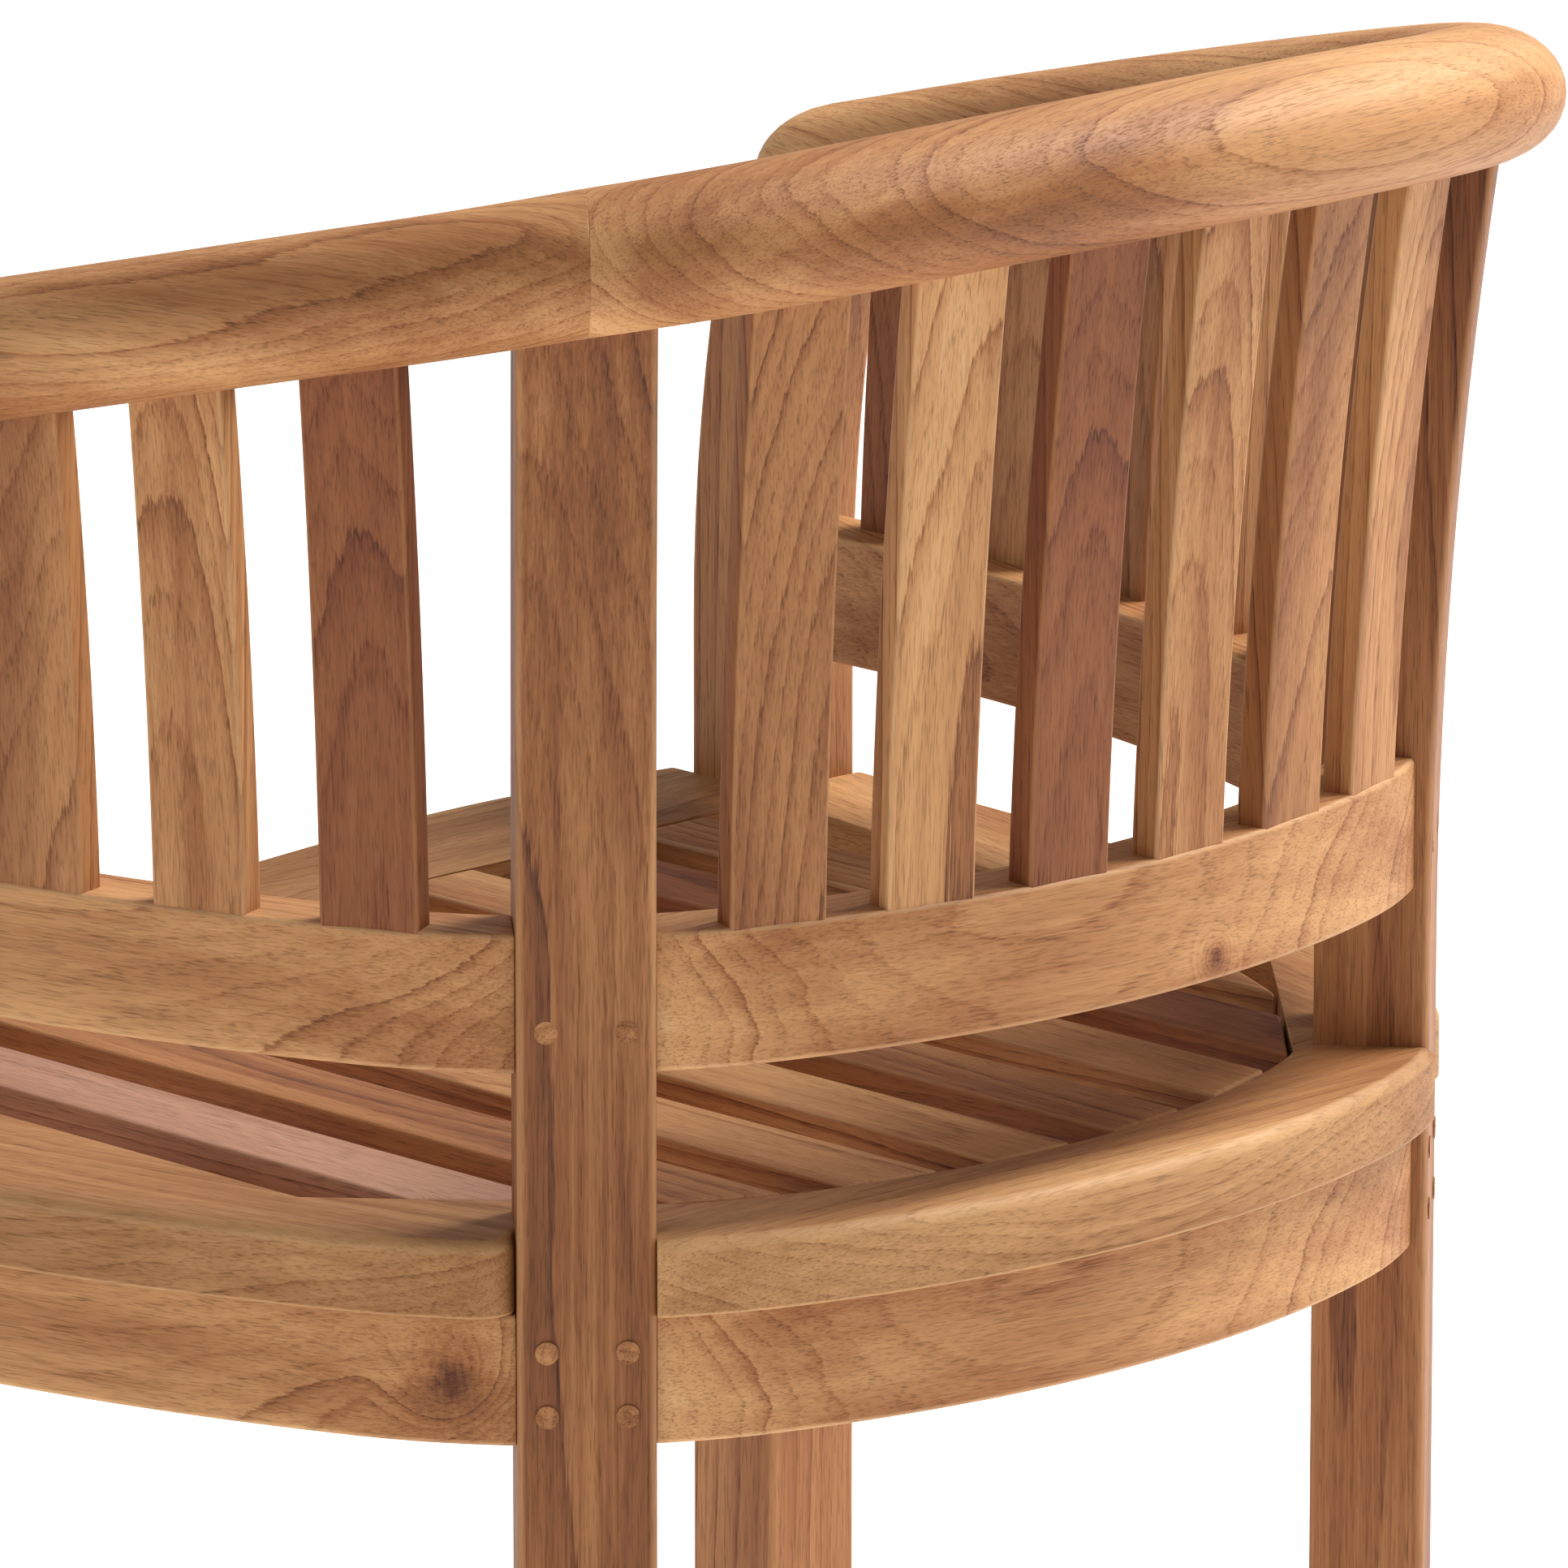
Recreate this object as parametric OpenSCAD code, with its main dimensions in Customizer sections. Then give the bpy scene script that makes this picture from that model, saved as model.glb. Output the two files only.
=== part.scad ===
// Horseshoe garden seat in solid teak: a curved back and two arms of upright slats over a slatted seat.
// +Z is up, the open front faces -Y, and the origin is on the ground under the middle of the whole seat.
// "Right" is +X, seen from the front. Heights above the seat are measured from the top of the seat rim.

/* [Seat] */
// Height of the top of the seat rim above the ground
seat_height = 440; // [360:5:520]
// From the outer face of the back rail to the front faces of the front legs
seat_depth = 524; // [480:2:640]
// Thickness of the boards of the seat: the rim and the slats
rim_thick = 27; // [22:1:34]
// How far the rim stands out past the rails, at the back
rim_proud = 8; // [5:0.5:18]
// Extra overhang that the rim gains towards the front of each arm
rim_flare = 18.5; // [0:0.5:24]
// Width of the rim at the middle of the back
rim_width = 41.5; // [34:0.5:60]
// Radius of the side rims' outer corners, next to the back legs
rim_corner_round = 15; // [2:1:20]
// Width that the back rim gains towards each back leg
rim_swell = 9; // [0:1:14]
// Width of one seat slat
seat_slat_w = 37.5; // [28:0.5:44]
// Distance from one seat slat to the next
seat_slat_pitch = 59.6; // [48:0.2:64]
// How far the row of seat slats sits off the centre, because it was laid by hand
seat_slat_shift = -16; // [-20:1:0]
// Front-to-back width of the front rim at its middle
front_rim_w = 60; // [50:1:80]
// Depth of the two soft bulges in the front rim's edge
front_wave = 17; // [0:1:24]

/* [Plan curve of the rails] */
// Radius of the back
back_radius = 440; // [380:5:600]
// Half of the angle that the back's arc turns through
back_angle = 19.2; // [14:0.2:24]
// Radius of the bend at each back leg
corner_radius = 184; // [150:2:230]
// Angle at which the bend ends and the arm begins
arm_angle = 65.7; // [58:0.1:72]
// Radius of each arm
arm_radius = 690; // [500:10:850]
// Angle at which the back legs stand
leg_angle = 40.4; // [34:0.2:46]

/* [Legs] */
// Width of a back leg, along the rails
back_leg_w = 47.5; // [39:0.5:58]
// Depth of a back leg, across the rails
back_leg_d = 41; // [36:1:50]
// How far a back leg's face stands out past the rails
back_leg_proud = 4; // [2:0.5:8]
// Side of a square front leg
front_leg_w = 44.5; // [40:0.5:52]
// How far a front leg's side stands out past the arm rail
front_leg_proud = 19.5; // [14:0.5:22]
// How far the top of a front leg leans back
front_leg_lean = 15; // [0:1:24]

/* [Lower rails and aprons] */
// Height of the gap between the seat rim and the lower rail
rail_gap = 57; // [40:1:80]
// Height of the lower rail
rail_h = 48.5; // [40:0.5:60]
// Thickness of the lower rail
rail_thick = 30; // [26:1:36]
// Height of the apron under the rim
apron_h = 46.5; // [38:0.5:70]
// Thickness of the apron
apron_thick = 22; // [18:1:28]

/* [Top rail] */
// Height of the underside of the top rail above the seat, at the back legs
top_rail_z = 315; // [250:1:360]
// How much higher the underside is at the middle of the back
crest_rise = 15; // [8:1:30]
// Width of the top rail at the back
top_rail_w = 64; // [56:1:80]
// Width of the top rail at the front of each arm
arm_end_w = 60; // [52:1:76]
// Height of the top rail's section at the arms
top_rail_h = 49; // [40:1:60]
// Height of the top rail's section at the middle of the back
crest_h = 50; // [41:1:64]
// How much lower the top rail is at the front of the arms than at the back legs
arm_fall = 114; // [95:1:137]
// How far the top rail stands out past the faces of the back legs
top_rail_over = 23.5; // [12:0.5:28]
// Radius of the rounded front ends of the arms
arm_end_round = 28; // [10:1:28]

/* [Upright slats] */
// Width of an upright slat
slat_w = 36; // [28:1:42]
// Thickness of an upright slat
slat_thick = 12; // [10:0.5:15]
// How far a slat sits in from the lower rail's outer face
slat_inset = 2.5; // [1:0.5:6]
// Distance between the slats of the back
back_slat_pitch = 59; // [50:0.5:66]
// Distance from the middle of a leg to the first slat of an arm
arm_slat_start = 75; // [64:1:80]
// How far the slats and back legs lean out at the top rail
lean_out = 20; // [8:1:28]

/* [Joinery] */
// Thickness of a tenon
tenon_thick = 12; // [8:1:14]
// Length of a tenon
tenon_len = 16; // [12:1:18]
// How deep the slats are housed in the rails
housing = 11; // [8:1:13]
// Diameter of the locking pegs
peg_d = 8; // [6:0.5:9]
// Diameter of the dowels between the aprons and the rim
dowel_d = 10; // [8:1:12]

/* [Hidden] */
BACK_SLATS = ["back_slat_1", "back_slat_2", "back_slat_3", "back_slat_4", "back_slat_5", "back_slat_6"];
RIGHT_SLATS = ["right_arm_slat_1", "right_arm_slat_2", "right_arm_slat_3",
               "right_arm_slat_4", "right_arm_slat_5", "right_arm_slat_6"];
LEFT_SLATS = ["left_arm_slat_1", "left_arm_slat_2", "left_arm_slat_3",
              "left_arm_slat_4", "left_arm_slat_5", "left_arm_slat_6"];
SEAT_SLATS = ["seat_slat_1", "seat_slat_2", "seat_slat_3", "seat_slat_4",
              "seat_slat_5", "seat_slat_6", "seat_slat_7", "seat_slat_8"];
RIGHT = 1;
LEFT = -1;
TEAK = [0.72, 0.52, 0.34];
TEAK_PALE = [0.80, 0.61, 0.42];
TEAK_DARK = [0.60, 0.40, 0.25];
STEEL = [0.70, 0.70, 0.70];
far = 400;                                  // larger than any piece that a cutting block trims
mm_per_degree = PI / 180;

// Lengths of the plan curve, measured from the middle of the back
back_arc_len = back_radius * back_angle * mm_per_degree;
corner_arc_len = corner_radius * (arm_angle - back_angle) * mm_per_degree;
arm_arc_len = arm_radius * (90 - arm_angle) * mm_per_degree;
leg_s = back_arc_len + corner_radius * (leg_angle - back_angle) * mm_per_degree;
arm_s = back_arc_len + corner_arc_len;
straight_s = arm_s + arm_arc_len;

// Front-to-back places: the origin lies halfway between the foremost and the hindmost point
front_over = 23;                            // from the front legs' faces to the front rim's bulges
back_over = top_rail_over + back_leg_proud + lean_out;
back_y = (seat_depth + front_over - back_over) / 2;
post_front_y = back_y - seat_depth;
post_back_y = post_front_y + front_leg_w;
front_inner_y = post_front_y - front_over + front_wave + front_rim_w;

// Centres of the three arcs of the right half, and the arm's own place at the front
back_c = [0, back_y - back_radius];
corner_c = back_c + (back_radius - corner_radius) * [sin(back_angle), cos(back_angle)];
arm_c = corner_c + (corner_radius - arm_radius) * [sin(arm_angle), cos(arm_angle)];
arm_x = arm_c.x + arm_radius;
post_x = arm_x + front_leg_proud - front_leg_w / 2;
post_s = straight_s + arm_c.y - (post_front_y + front_leg_w / 2);
arm_end_over = 10;                          // how far an arm reaches past the top of its front leg
end_facet = 0.1;                            // thickness of the last slice of an arm's rounded end
arm_end_s = post_s + front_leg_w / 2 - front_leg_lean + arm_end_over;

// Heights
rail_z = seat_height + rail_gap;
rail_top_z = rail_z + rail_h;
rim_z = seat_height - rim_thick;
apron_z = rim_z - apron_h;
lean_start = 30;                            // height above the seat where the slats and back legs begin to lean
front_lean_start = 60;                      // the same for the front legs
lean_z = seat_height + lean_start;
front_lean_z = seat_height + front_lean_start;

// Seat frame
rim_inner_back = 237;                       // half the seat opening's width behind, next to each back leg
rim_straight = 0.8;                         // share of the way to a back leg where the edge turns straight
rim_reach = 90;                             // deeper than the rim, so that the opening trims its boards
rim_corner_in = 166;                        // from the back rail's face to where the opening's sides begin
rim_corner_y = back_y - rim_corner_in;
rim_inner_right = 237;                      // half widths of the opening in front, right and left
rim_inner_left = 281;
front_bulge_x = 190;                        // where the front rim's bulges are, from the middle
flare_power = 1.6;                          // how late along the arm the rim's extra overhang comes
front_apron_in = 8;                         // from the front legs' faces to the front apron
front_apron_y = post_front_y + front_apron_in + apron_thick / 2;
slat_gap = 1;                               // clearance round the ends of the seat slats
cleat_w = 26;
cleat_h = 24;
cleat_gap = 0.5;                            // between the back legs and the curved ledge
cleat_off = back_leg_proud - back_leg_d - cleat_gap;
cleat_past_leg = 95;                        // how far the curved ledge runs past each back leg
cleat_end_s = leg_s + cleat_past_leg;
cleat_front_in = 30;                        // from each side apron to the end of the straight ledge
bearer_h = 24;
bearer_d = 40;
bearer_y = (front_inner_y + back_y) / 2;
lap = 8;                                    // bearer's housing in each side apron
screw_d = 4;
screw_head_d = 8;
screw_head_h = 3;
screw_in = 14;                              // depth of a screw in its slat
seat_slats = len(SEAT_SLATS);
arm_slats = len(RIGHT_SLATS);
back_slats = len(BACK_SLATS);
arm_slat_pitch = (post_s - leg_s - 2 * arm_slat_start) / (arm_slats - 1);
peg_side = 10;                              // from a leg's side to its pegs
peg_len = 30;
peg_len_front = 22;                         // length of the pegs in a front leg's front face
peg_proud = 0.6;                            // how far the pegs stand out of the legs
apron_peg_in = 12;                          // from an apron's edges to its two pegs
rail_peg_up = 16;                           // from a lower rail's underside to its peg
apron_peg_z = [apron_z + apron_peg_in, apron_z + apron_h - apron_peg_in];
rail_peg_z = [rail_z + rail_peg_up];
dowel_in = 16;
tenon_shoulder = 7;                         // above and below a rail's tenon
top_tenon = 24;
top_tenon_w = 22;
rail_house = 10;                            // how deep the legs stand in the top rail
dowel_share = [0.2, 0.6];                   // places of the dowels along each arm
arm_dowel_s = [for (a = dowel_share) leg_s + a * (post_s - leg_s)];
back_dowel_s = leg_s / 2;
dowel_s = concat(-arm_dowel_s, [-back_dowel_s, 0, back_dowel_s], arm_dowel_s);
dowel_front_x = 150;
fall_power = 1.3;                           // 1 drops the arms in a straight line, and more later on
end_flatness = 0.6;                         // how much an arm's rounded end also shrinks in height
section_power = 2 / 2.1;                    // 1 gives an ellipse, and a smaller value a fuller section
section_sides = 28;

// ---- Plan curve ----
function turn_at(s) =
    s <= back_arc_len ? s / back_radius / mm_per_degree
    : s <= arm_s ? back_angle + (s - back_arc_len) / corner_radius / mm_per_degree
    : s <= straight_s ? arm_angle + (s - arm_s) / arm_radius / mm_per_degree
    : 90;
function along(s, off) =
    let (t = turn_at(s), out = [sin(t), cos(t)])
    s <= back_arc_len ? back_c + (back_radius + off) * out
    : s <= arm_s ? corner_c + (corner_radius + off) * out
    : s <= straight_s ? arm_c + (arm_radius + off) * out
    : [arm_x + off, arm_c.y - (s - straight_s)];
function plan(s, off) = s < 0 ? let (p = along(-s, off)) [-p.x, p.y] : along(s, off);
function plan_turn(s) = s < 0 ? -turn_at(-s) : turn_at(s);
function stations(s0, s1, gap = 14) =
    let (n = ceil((s1 - s0) / gap)) [for (i = [0:n]) s0 + (s1 - s0) * i / n];
function reversed(list) = [for (i = [len(list) - 1:-1:0]) list[i]];

// Puts its children on the plan curve, with +Y pointing out of the seat
module on_plan(s, off = 0) {
    p = plan(s, off);
    translate([p.x, p.y, 0]) rotate([0, 0, -plan_turn(s)]) children();
}

// A flat curved board between two offsets from the plan curve
module band(s0, s1, outer, inner, z, h) {
    s = stations(s0, s1);
    translate([0, 0, z]) linear_extrude(h)
        polygon(concat([for (t = s) plan(t, outer)], [for (t = reversed(s)) plan(t, inner)]));
}

// ---- Shapes that lean ----
function lean(z) = z <= lean_z ? 0 : lean_out * pow((z - lean_z) / (seat_height + top_rail_z - lean_z), 2);
function front_lean(z) =
    z <= front_lean_z ? 0 : front_leg_lean * pow((z - front_lean_z) / (arm_rail_z(post_s) - front_lean_z), 2);
function heights(z0, z1) =
    let (n = ceil((z1 - z0) / 18)) [for (i = [0:n]) z0 + (z1 - z0) * i / n];

// A leaning post: its outer face lies on y = 0 at the seat, and its depth runs inwards
module leaning_post(w, d, z0, z1) {
    z = concat([z0], heights(max(z0, lean_z), z1));
    rotate([90, 0, 90]) linear_extrude(w, center = true)
        polygon(concat([for (t = z) [lean(t), t]], [for (t = reversed(z)) [lean(t) - d, t]]));
}

// ---- Top rail ----
crest_top = seat_height + top_rail_z + crest_rise + crest_h;
crest_drop = crest_rise + crest_h - top_rail_h;
leg_slope = 2 * crest_drop / leg_s;         // how steeply the top rail falls over the back legs
arm_len = arm_end_s - leg_s;
arm_extra = arm_fall - leg_slope * arm_len;
end_slope = leg_slope + fall_power * arm_extra / arm_len;
function rail_share(s) = min(abs(s) / leg_s, 1);
function top_h(s) = top_rail_h + (crest_h - top_rail_h) * pow(1 - pow(rail_share(s), 2), 2);
function top_z(s) =
    abs(s) <= leg_s ? crest_top - crest_drop * pow(s / leg_s, 2)
    : crest_top - crest_drop - leg_slope * (abs(s) - leg_s) - arm_extra * pow(arm_share(s), fall_power);
function arm_rail_z(s) = top_z(s) - top_h(s);
function arm_share(s) = max(0, (abs(s) - leg_s) / arm_len);
function top_w(s) = top_rail_w + (arm_end_w - top_rail_w) * arm_share(s);
function end_inset(e) = e >= arm_end_round ? 0
    : arm_end_round - sqrt(pow(arm_end_round, 2) - pow(arm_end_round - e, 2));
function soft(v) = sign(v) * pow(abs(v), section_power);
function top_ring(s, inset) =
    let (w = top_w(s) / 2 - inset, h = top_h(s) / 2 - end_flatness * inset,
         mid = back_over - top_w(s) / 2, z = top_z(s) - top_h(s) / 2)
    [for (i = [0:section_sides - 1])
        let (a = 360 * i / section_sides, p = plan(s, mid + w * soft(cos(a))))
        [p.x, p.y, z + h * soft(sin(a))]];
module top_sweep(s, insets) {
    rings = len(s);
    n = section_sides;
    pts = [for (i = [0:rings - 1]) each top_ring(s[i], insets[i])];
    sides = [for (i = [0:rings - 2], j = [0:n - 1])
        let (k = (j + 1) % n) each [[i * n + j, i * n + k, (i + 1) * n + k],
                                    [i * n + j, (i + 1) * n + k, (i + 1) * n + j]]];
    caps = [[for (j = [n - 1:-1:0]) j], [for (j = [0:n - 1]) (rings - 1) * n + j]];
    polyhedron(pts, concat(caps, sides), convexity = 6);
}

// ---- Slats ----
function back_slat_s(i) = (i - (back_slats - 1) / 2) * back_slat_pitch;
function arm_slat_s(i) = leg_s + arm_slat_start + i * arm_slat_pitch;
module slat_at(s) {
    on_plan(s, -slat_inset)
        leaning_post(slat_w, slat_thick, rail_top_z - housing, arm_rail_z(s) + housing);
}
module back_slats_all() { for (i = [0:back_slats - 1]) slat_at(back_slat_s(i)); }
module arm_slats_all(side) { for (i = [0:arm_slats - 1]) slat_at(side * arm_slat_s(i)); }

// ---- Tenons, pegs and mortises ----
// A rail's tenon into a back leg, on the side of the leg that faces along dir
module back_leg_tenon(side, dir, z, h, thick) {
    on_plan(side * leg_s)
        translate([dir * (back_leg_w / 2 - tenon_len / 2), -thick / 2, z + h / 2])
            cube([tenon_len, tenon_thick, h - 2 * tenon_shoulder], center = true);
}
// A side rail's tenon into the back face of a front leg
module front_leg_tenon(side, z, h, thick) {
    translate([side * (arm_x - thick / 2), post_back_y - tenon_len / 2, z + h / 2])
        cube([tenon_thick, tenon_len, h - 2 * tenon_shoulder], center = true);
}
// The front apron's tenon into a front leg
module front_apron_tenon(side) {
    translate([side * (post_x - front_leg_w / 2 + tenon_len / 2), front_apron_y, apron_z + apron_h / 2])
        cube([tenon_len, tenon_thick, apron_h - 2 * tenon_shoulder], center = true);
}
module back_leg_pegs(side) {
    for (dir = [-1, 1], z = concat(apron_peg_z, rail_peg_z))
        on_plan(side * leg_s, back_leg_proud)
            translate([dir * (back_leg_w / 2 - peg_side), peg_proud, z])
                rotate([90, 0, 0]) cylinder(d = peg_d, h = peg_len, $fn = 32);
}
module front_leg_pegs(side) {
    for (z = concat(apron_peg_z, rail_peg_z))
        translate([side * (post_x + front_leg_w / 2 + peg_proud), post_back_y - peg_side, z])
            rotate([0, -side * 90, 0]) cylinder(d = peg_d, h = peg_len, $fn = 32);
    for (z = apron_peg_z)
        translate([side * (post_x - front_leg_w / 2 + peg_side), post_front_y - peg_proud, z])
            rotate([-90, 0, 0]) cylinder(d = peg_d, h = peg_len_front, $fn = 32);
}

// ---- Legs ----
// A leg's top follows the slope of the top rail and stands in the rail by rail_house, with a tenon on it
module back_leg_body(side) {
    top = seat_height + top_rail_z;
    difference() {
        on_plan(side * leg_s, back_leg_proud)
            leaning_post(back_leg_w, back_leg_d, 0, top + rail_house + back_leg_w / 4);
        on_plan(side * leg_s)
            translate([0, 0, top + rail_house]) rotate([0, side * atan(leg_slope), 0])
                translate([0, 0, far / 2]) cube(far, center = true);
    }
    on_plan(side * leg_s, back_leg_proud + lean_out - back_leg_d / 2)
        translate([0, 0, top]) cube([top_tenon_w, top_tenon_w, 2 * top_tenon], center = true);
}
module front_leg_body(side) {
    top = arm_rail_z(post_s);
    z = concat([0], heights(front_lean_z, top + rail_house + front_leg_w / 4));
    difference() {
        translate([side * post_x, post_front_y, 0])
            rotate([90, 0, 90]) linear_extrude(front_leg_w, center = true)
                polygon(concat([for (t = z) [front_lean(t), t]],
                               [for (t = reversed(z)) [front_lean(t) + front_leg_w, t]]));
        translate([0, post_front_y + front_leg_w / 2 + front_leg_lean, top + rail_house])
            rotate([atan(end_slope), 0, 0]) translate([0, 0, far]) cube(2 * far, center = true);
    }
    translate([side * post_x, post_front_y + front_leg_w / 2 + front_leg_lean, top])
        cube([top_tenon_w, top_tenon_w, 2 * top_tenon], center = true);
}
module back_leg(side) {
    color(TEAK_DARK) difference() {
        back_leg_body(side);
        for (dir = [-1, 1]) {
            back_leg_tenon(side, dir, rail_z, rail_h, rail_thick);
            back_leg_tenon(side, dir, apron_z, apron_h, apron_thick);
        }
        back_leg_pegs(side);
    }
}
module front_leg(side) {
    color(TEAK_DARK) difference() {
        front_leg_body(side);
        front_leg_tenon(side, rail_z, rail_h, rail_thick);
        front_leg_tenon(side, apron_z, apron_h, apron_thick);
        front_apron_tenon(side);
        front_leg_pegs(side);
    }
}

// ---- Top rail pieces ----
module crest_rail() {
    s = stations(-leg_s, leg_s);
    color(TEAK_PALE) difference() {
        top_sweep(s, [for (t = s) 0]);
        back_slats_all();
        for (side = [RIGHT, LEFT]) back_leg_body(side);
    }
}
module arm_rail(side) {
    body = stations(leg_s, arm_end_s - arm_end_round);
    ends = [for (a = [15:15:75]) arm_end_s - arm_end_round + arm_end_round * sin(a)];
    s = concat(body, ends, [arm_end_s - end_facet]);
    color(TEAK) difference() {
        mirror([side < 0 ? 1 : 0, 0, 0]) top_sweep(s, [for (t = s) end_inset(arm_end_s - t)]);
        arm_slats_all(side);
        back_leg_body(side);
        front_leg_body(side);
    }
}

// ---- Lower rails ----
module back_leg_zone(side, dir) {
    on_plan(side * leg_s)
        translate([-dir * (far - back_leg_w) / 2, 0, seat_height])
            cube([far, 2 * far, 2 * far], center = true);
}
module lower_rail_back() {
    color(TEAK) difference() {
        union() {
            difference() {
                band(-leg_s, leg_s, 0, -rail_thick, rail_z, rail_h);
                back_leg_zone(RIGHT, LEFT);
                back_leg_zone(LEFT, RIGHT);
            }
            back_leg_tenon(RIGHT, LEFT, rail_z, rail_h, rail_thick);
            back_leg_tenon(LEFT, RIGHT, rail_z, rail_h, rail_thick);
        }
        back_slats_all();
        back_leg_pegs(RIGHT);
        back_leg_pegs(LEFT);
    }
}
// A side rail or apron: a curved board from a back leg to the front leg on the same side
module side_board(side, z, h, thick) {
    difference() {
        union() {
            difference() {
                mirror([side < 0 ? 1 : 0, 0, 0])
                    band(leg_s, post_s - front_leg_w / 2, 0, -thick, z, h);
                back_leg_zone(side, side);
            }
            back_leg_tenon(side, side, z, h, thick);
            front_leg_tenon(side, z, h, thick);
        }
        back_leg_pegs(side);
        front_leg_pegs(side);
    }
}
module lower_rail_side(side) {
    color(TEAK) difference() {
        side_board(side, rail_z, rail_h, rail_thick);
        arm_slats_all(side);
    }
}

// ---- Aprons ----
module apron_back() {
    color(TEAK) difference() {
        union() {
            difference() {
                band(-leg_s, leg_s, 0, -apron_thick, apron_z, apron_h);
                back_leg_zone(RIGHT, LEFT);
                back_leg_zone(LEFT, RIGHT);
            }
            back_leg_tenon(RIGHT, LEFT, apron_z, apron_h, apron_thick);
            back_leg_tenon(LEFT, RIGHT, apron_z, apron_h, apron_thick);
        }
        back_leg_pegs(RIGHT);
        back_leg_pegs(LEFT);
        rim_dowels();
    }
}
module apron_side(side) {
    color(TEAK) difference() {
        side_board(side, apron_z, apron_h, apron_thick);
        rim_dowels();
        bearer_block();
    }
}
module apron_front() {
    w = 2 * (post_x - front_leg_w / 2);
    color(TEAK) difference() {
        union() {
            translate([0, front_apron_y, apron_z + apron_h / 2])
                cube([w, apron_thick, apron_h], center = true);
            for (side = [RIGHT, LEFT]) front_apron_tenon(side);
        }
        for (side = [RIGHT, LEFT]) front_leg_pegs(side);
        rim_dowels();
    }
}

// ---- Seat rim ----
function rim_off(s) = rim_proud + rim_flare * pow(max(0, (abs(s) - leg_s) / (post_s - leg_s)), flare_power);
function rim_inner(s) = rim_proud - rim_width - rim_swell * pow(s / leg_s, 2);
function front_edge(x) =
    post_front_y - front_over + front_wave * (1 + cos(180 * x / front_bulge_x)) / 2;
// How far a side rim's outer edge draws in next to its back leg, as a quarter circle
function rim_end_in(s) =
    let (left = rim_corner_round - max(0, abs(s) - leg_s - back_leg_w / 2))
    left <= 0 ? 0 : rim_corner_round - sqrt(pow(rim_corner_round, 2) - pow(left, 2));
// The opening inside the rim, seen from above and made smaller all round by a clearance
module opening(gap) {
    s = stations(-rim_straight * leg_s, rim_straight * leg_s);
    polygon(concat([for (t = s) plan(t, rim_inner(t) - gap)],
                   [[rim_inner_back - gap, rim_corner_y], [rim_inner_right - gap, front_inner_y + gap]],
                   [[gap - rim_inner_left, front_inner_y + gap], [gap - rim_inner_back, rim_corner_y]]));
}
// A board of the rim: its outline less the opening, notched round the back legs and bored for dowels
module rim_board(outline) {
    difference() {
        translate([0, 0, rim_z]) linear_extrude(rim_thick) difference() {
            polygon(outline);
            opening(0);
        }
        for (side = [RIGHT, LEFT])
            on_plan(side * leg_s, back_leg_proud - back_leg_d / 2)
                translate([0, 0, rim_z]) cube([back_leg_w, back_leg_d, far], center = true);
        rim_dowels();
    }
}
module rim_back() {
    s = stations(-leg_s, leg_s);
    color(TEAK_PALE)
        rim_board(concat([for (t = s) plan(t, rim_off(t))], [for (t = reversed(s)) plan(t, -rim_reach)]));
}
module rim_side(side) {
    round_s = [for (a = [90:-15:0]) leg_s + back_leg_w / 2 + rim_corner_round * (1 - sin(a))];
    s = concat([leg_s], round_s, stations(round_s[len(round_s) - 1] + 1, post_s - front_leg_w / 2));
    leg_side_x = post_x - front_leg_w / 2;
    outline = concat([for (t = s) plan(t, rim_off(t) - rim_end_in(t))],
                     [[leg_side_x, post_back_y], [leg_side_x, front_inner_y],
                      [rim_inner_right - apron_thick, front_inner_y], plan(leg_s, -rim_reach)]);
    color(TEAK_PALE) rim_board([for (p = outline) [side * p.x, p.y]]);
}
module rim_front() {
    w = post_x - front_leg_w / 2;
    x = [for (i = [-24:24]) w * i / 24];
    color(TEAK_PALE) difference() {
        translate([0, 0, rim_z]) linear_extrude(rim_thick)
            polygon(concat([for (t = x) [t, front_edge(t)]], [[w, front_inner_y], [-w, front_inner_y]]));
        rim_dowels();
    }
}

// ---- Seat slats and what carries them ----
function seat_slat_x(i) = seat_slat_shift + ((seat_slats - 1) / 2 - i) * seat_slat_pitch;
module seat_slat(i) {
    color(i % 3 == 0 ? TEAK_DARK : TEAK) difference() {
        intersection() {
            translate([seat_slat_x(i), back_y - far, rim_z + rim_thick / 2])
                cube([seat_slat_w, 2 * far, rim_thick], center = true);
            translate([0, 0, rim_z]) linear_extrude(rim_thick) opening(slat_gap);
        }
        slat_screws();
    }
}
// A curved ledge under the hind ends of the seat slats, fixed to the inner faces of the back legs
module cleat_back() {
    color(TEAK_DARK) difference() {
        band(-cleat_end_s, cleat_end_s, cleat_off, cleat_off - cleat_w, rim_z - cleat_h, cleat_h);
        slat_screws();
    }
}
// A straight ledge under their front ends, fixed to the front apron
module cleat_front() {
    w = 2 * (arm_x - apron_thick - cleat_front_in);
    y0 = front_apron_y + apron_thick / 2;
    color(TEAK_DARK) difference() {
        translate([-w / 2, y0, rim_z - cleat_h]) cube([w, front_inner_y + cleat_w - y0, cleat_h]);
        slat_screws();
    }
}
// A bar across the middle of the seat, housed in both side aprons
module bearer_block() {
    half_w = arm_c.x + sqrt(pow(arm_radius - apron_thick + lap, 2) - pow(max(0, bearer_y - arm_c.y), 2));
    translate([0, bearer_y, rim_z - bearer_h / 2]) cube([2 * half_w, bearer_d, bearer_h], center = true);
}
module seat_bearer() {
    color(TEAK_DARK) difference() {
        bearer_block();
        slat_screws();
    }
}

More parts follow.
